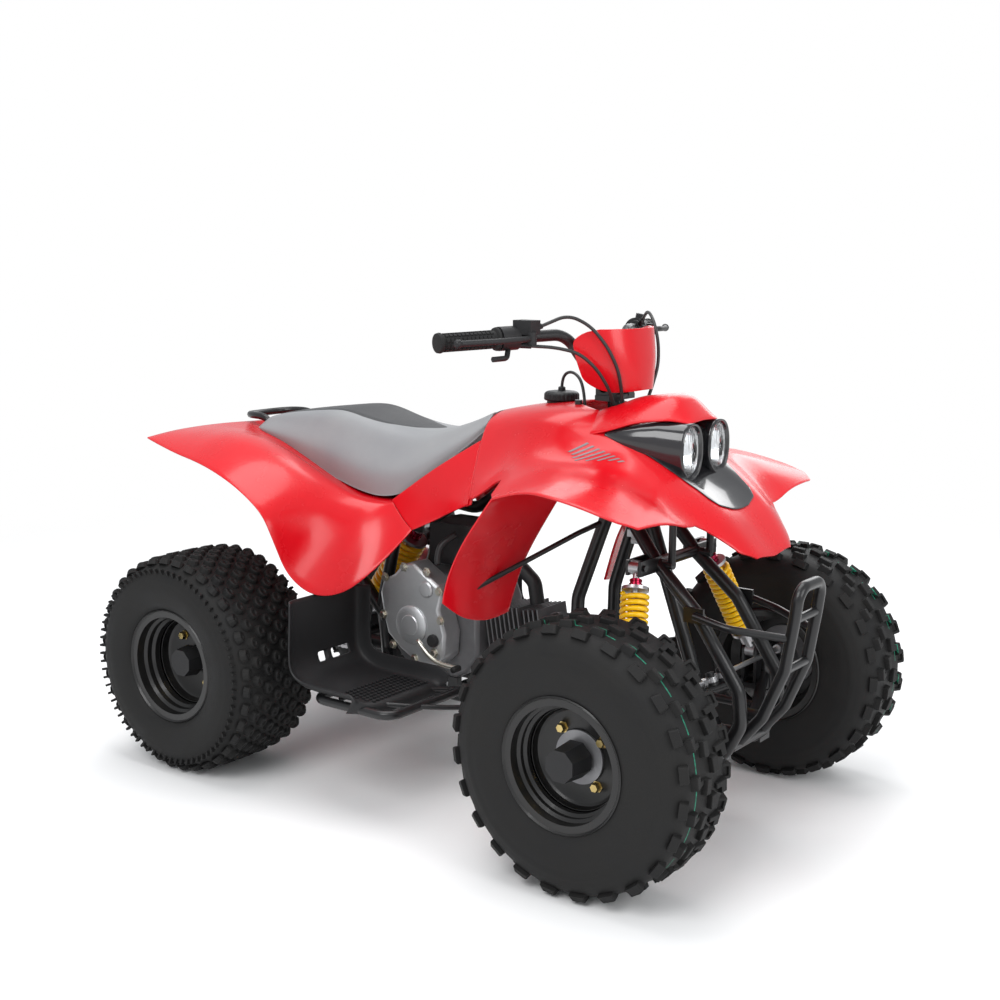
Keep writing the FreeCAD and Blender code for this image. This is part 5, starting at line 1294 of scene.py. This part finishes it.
def boss(name, x, z, profile, finishName, *turns):
    # A round boss on the engine's right side.
    return turned(name, profile, along((x, sideFace, z), outRight), finish[finishName], *turns)


def engineFittings():
    pieces = [
        boss("clutchBoss", -100, 320, [(40, 0), (40, 3), (36, 6), (22, 7), (20, 9), (6, 9.5)], "castAlloy", 48),
        boss("shaftBoss", -60, 400, [(17, 0), (17, 4), (14, 6.5), (6, 7)], "castAlloy"),
        boss("oilCap", -42, 296, [(13, 0), (13, 6), (11, 9), (5, 10)], "blackPlastic"),
        rod("breatherPipe", [(-60, -100, 446), (-60, -100, 470), (-52, -92, 492), (-36, -70, 506)], 7,
            finish["cableJacket"]),
        rod("pedalArm", [(-70, -152, 296), (-40, -156, 268), (0, -158, 256), (40, -158, 258)], 5, finish["zincSteel"]),
        rod("pedalTip", [(40, -156, 258), (40, -176, 258)], 6.5, finish["gripRubber"]),
    ]
    bolts = [((x, sideFace, z), outRight) for x, z in coverBolts]
    pieces.append(fixings("coverBolts", fixingShapes["boltHead"], bolts, finish["zincSteel"], 1.2))
    return joined("engineFittings", pieces)


declare(engineFittings(), "chassis", "alloy")
for nodeName, width in (("engine_cover", 0.006), ("engine_case", 0.008), ("rectifier", 0.0008), ("frame", 0.0006)):
    softRim(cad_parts[nodeName], "softEdge", width, 40)
print("boards, engine fittings ready")


# Chain and sprocket teeth

chainShape = {
    "pitch": 12.7, "line": 95, "rear": (-500, 228.5, 36), "front": (-128, 268, 14),  # x, height and teeth
    "eye": 4.4, "waist": 3.1, "roller": 3.9, "pin": 1.8, "pinReach": 0.6, "frontSteps": 48, "rearSteps": 96,
}
toothShape = {
    "half": 2.3, "rearHole": 62, "frontHole": 16,
    "steps": [(0, -4.6), (0.18, -3.6), (0.32, 0.4), (0.44, 3.6), (0.56, 3.6), (0.68, 0.4), (0.82, -3.6)],
}  # steps holds (share of a tooth, height over the pitch circle)


def pitchRadius(teeth):
    return chainShape["pitch"] / (2 * math.sin(math.pi / teeth))


def chainPath():
    # Points one pitch apart round both sprockets, in mm.
    rearX, rearZ, rearTeeth = chainShape["rear"]
    frontX, frontZ, frontTeeth = chainShape["front"]
    big, small = pitchRadius(rearTeeth), pitchRadius(frontTeeth)
    base = math.atan2(frontZ - rearZ, frontX - rearX)
    lean = math.acos((big - small) / math.hypot(frontX - rearX, frontZ - rearZ))
    line = []
    for x, z, radius, start, sweep, steps in (
            (frontX, frontZ, small, base + lean, -2 * lean, chainShape["frontSteps"]),
            (rearX, rearZ, big, base - lean, 2 * lean - 2 * math.pi, chainShape["rearSteps"])):
        for step in range(steps + 1):
            angle = start + sweep * step / steps
            line.append((x + radius * math.cos(angle), z + radius * math.sin(angle)))
    line.append(line[0])
    lengths = [math.dist(a, b) for a, b in zip(line, line[1:])]
    count = 2 * round(sum(lengths) / chainShape["pitch"] / 2)
    pitch = sum(lengths) / count
    spots, walked, index = [], 0.0, 0
    for spot in range(count):
        while walked + lengths[index] < spot * pitch:
            walked += lengths[index]
            index += 1
        t = (spot * pitch - walked) / lengths[index]
        (ax, az), (bx, bz) = line[index], line[index + 1]
        spots.append(Vector((ax + (bx - ax) * t, chainShape["line"], az + (bz - az) * t)))
    return spots


def linkShape(name, low, high, roller):
    # Two waisted plates with their pins; the length runs along Z.
    half, eye, waist = chainShape["pitch"] / 2, chainShape["eye"], chainShape["waist"]
    outline = []
    for end, first in ((1, -12), (-1, 168)):
        for step in range(9):
            angle = math.radians(first + 204 * step / 8)
            outline.append((eye * math.cos(angle), end * half + eye * math.sin(angle)))
        outline.append((-end * waist, 0))
    radius, reach = (chainShape["roller"], low) if roller else (chainShape["pin"], high + chainShape["pinReach"])
    plates = [(low, high, outline), (-high, -low, outline)]
    plates += [(-reach, reach, circlePoints(radius, 12, (0, end))) for end in (half, -half)]
    points, faces = [], []
    for start, end, plate in plates:
        more, moreFaces = stackRings([[millimetres((x, y, z)) for x, z in plate] for y in (start, end)])
        faces += [tuple(len(points) + index for index in face) for face in moreFaces]
        points += more
    return kitShape(name, points, faces)


def toothedRing(name, centre, teeth, inner, material):
    radius, line, half = pitchRadius(teeth), chainShape["line"], toothShape["half"]
    turns = [(2 * math.pi * (tooth + share) / teeth, reach) for tooth in range(teeth)
             for share, reach in toothShape["steps"]]
    outerLine = [((radius + reach) * math.cos(angle), (radius + reach) * math.sin(angle)) for angle, reach in turns]
    innerLine = [(inner * math.cos(angle), inner * math.sin(angle)) for angle, _ in turns]
    points = []
    for ring, y in ((outerLine, line - half), (outerLine, line + half), (innerLine, line + half),
                    (innerLine, line - half)):
        points += [millimetres((centre[0] + x, y, centre[1] + z)) for x, z in ring]
    return outward(meshObject(name, points, gridFaces(4, len(outerLine), True, True), material, False))


pathSpots = chainPath()
chainParts = []
for start, shape in ((0, linkShape("outerLink", 4.7, 6.1, False)), (1, linkShape("innerLink", 3.1, 4.5, True))):
    spots = []
    for index in range(start, len(pathSpots), 2):
        here, after = pathSpots[index], pathSpots[(index + 1) % len(pathSpots)]
        spots.append(((here + after) / 2, after - here))
    chainParts.append(fixings("chainLinks", shape, spots, finish["plainSteel"]))
declare(joined("driveChain", chainParts), "chassis", "steel", "drive_chain")
for name, sprocket, hole, body in (("rearTeeth", "rear", "rearHole", "rear_wheels"),
                                   ("frontTeeth", "front", "frontHole", "chassis")):
    x, z, teeth = chainShape[sprocket]
    declare(toothedRing(name, (x, z), teeth, toothShape[hole], finish["plainSteel"]), body, "steel")


# Springs and their collars

shocks = [  # foot, top, outer radius of the coil, wire radius, turns, in mm
    ((484, 238, 285), (430, 130, 512), 27, 4.8, 13),
    ((484, -238, 285), (430, -130, 512), 27, 4.8, 13),
    ((-332, 0, 292), (-182, 0, 500), 33, 5.6, 11),
]
shockSeats = {"low": 52.2, "high": 44.2, "stepsPerTurn": 20}  # mm from the foot and the top to the spring's seats
collarProfile = [(10, -38), (12.5, -37), (12.5, -31), (10.6, -30), (10.6, -27), (11.6, -26), (11.6, -23), (10, -22)]


def coilShape(foot, top, outer, wire, turns):
    # A close-wound coil between the two seats of its shock absorber.
    run = Vector(top) - Vector(foot)
    place, low, high = along(foot, run), shockSeats["low"] + wire, run.length - shockSeats["high"] - wire
    steps = turns * shockSeats["stepsPerTurn"]
    points = []
    for step in range(steps + 1):
        angle = 2 * math.pi * step / shockSeats["stepsPerTurn"]
        spot = Vector(((outer - wire) * math.cos(angle), (outer - wire) * math.sin(angle),
                       low + (high - low) * step / steps))
        points.append(place @ (spot / 1000) * 1000)
    return rod("coil", points, wire, finish["yellowPaint"], "POLY")


def shockCollar(foot, top):
    run = Vector(top) - Vector(foot)
    profile = [(radius, run.length + height) for radius, height in collarProfile]
    return turned("shockCollar", profile, along(foot, run), finish["collarMetal"])


declare(joined("coilSprings", [coilShape(*sizes) for sizes in shocks]), "chassis", "yellow_paint", "coil_springs")
declare(joined("shockCollars", [shockCollar(foot, top) for foot, top, *_ in shocks]), "chassis", "steel")


# Painted line on the front tyres

lineShape = {"across": 0.411, "halfWidth": 0.0014, "dashes": 22, "gap": 0.35, "tone": (0.02, 0.28, 0.17, 1)}


def paintLine(material):
    # A dashed green line round the tread, near its outer edge.
    tree = material.node_tree
    shader = tree.nodes["Principled BSDF"]
    x, y, z = addNode(tree, "ShaderNodeSeparateXYZ", {0: coordinates(tree)}).outputs
    across = mathNode(tree, "SUBTRACT", mathNode(tree, "ABSOLUTE", y), lineShape["across"])
    onLine = mathNode(tree, "LESS_THAN", mathNode(tree, "ABSOLUTE", across), lineShape["halfWidth"])
    ahead = mathNode(tree, "SUBTRACT", x, frontAxle[0])
    above = mathNode(tree, "SUBTRACT", z, frontAxle[2])
    turn = mathNode(tree, "MULTIPLY", mathNode(tree, "ARCTAN2", above, ahead), lineShape["dashes"] / (2 * math.pi))
    dash = mathNode(tree, "GREATER_THAN", mathNode(tree, "FRACT", turn), lineShape["gap"])
    worn = rangeNode(tree, noiseFactor(tree, coordinates(tree), 160, 3), 0.2, 1)
    amount = mathNode(tree, "MULTIPLY", mathNode(tree, "MULTIPLY", onLine, dash), worn)
    base = shader.inputs["Base Color"].links[0].from_socket
    tree.links.new(mixColour(tree, amount, base, lineShape["tone"]), shader.inputs["Base Color"])


lineRubber = finish["tyreRubber"].copy()
lineRubber.name = "lineRubber"
paintLine(lineRubber)
for tyre in frontTyres:
    tyre.data.materials[0] = lineRubber
print("chain and tyre line ready")
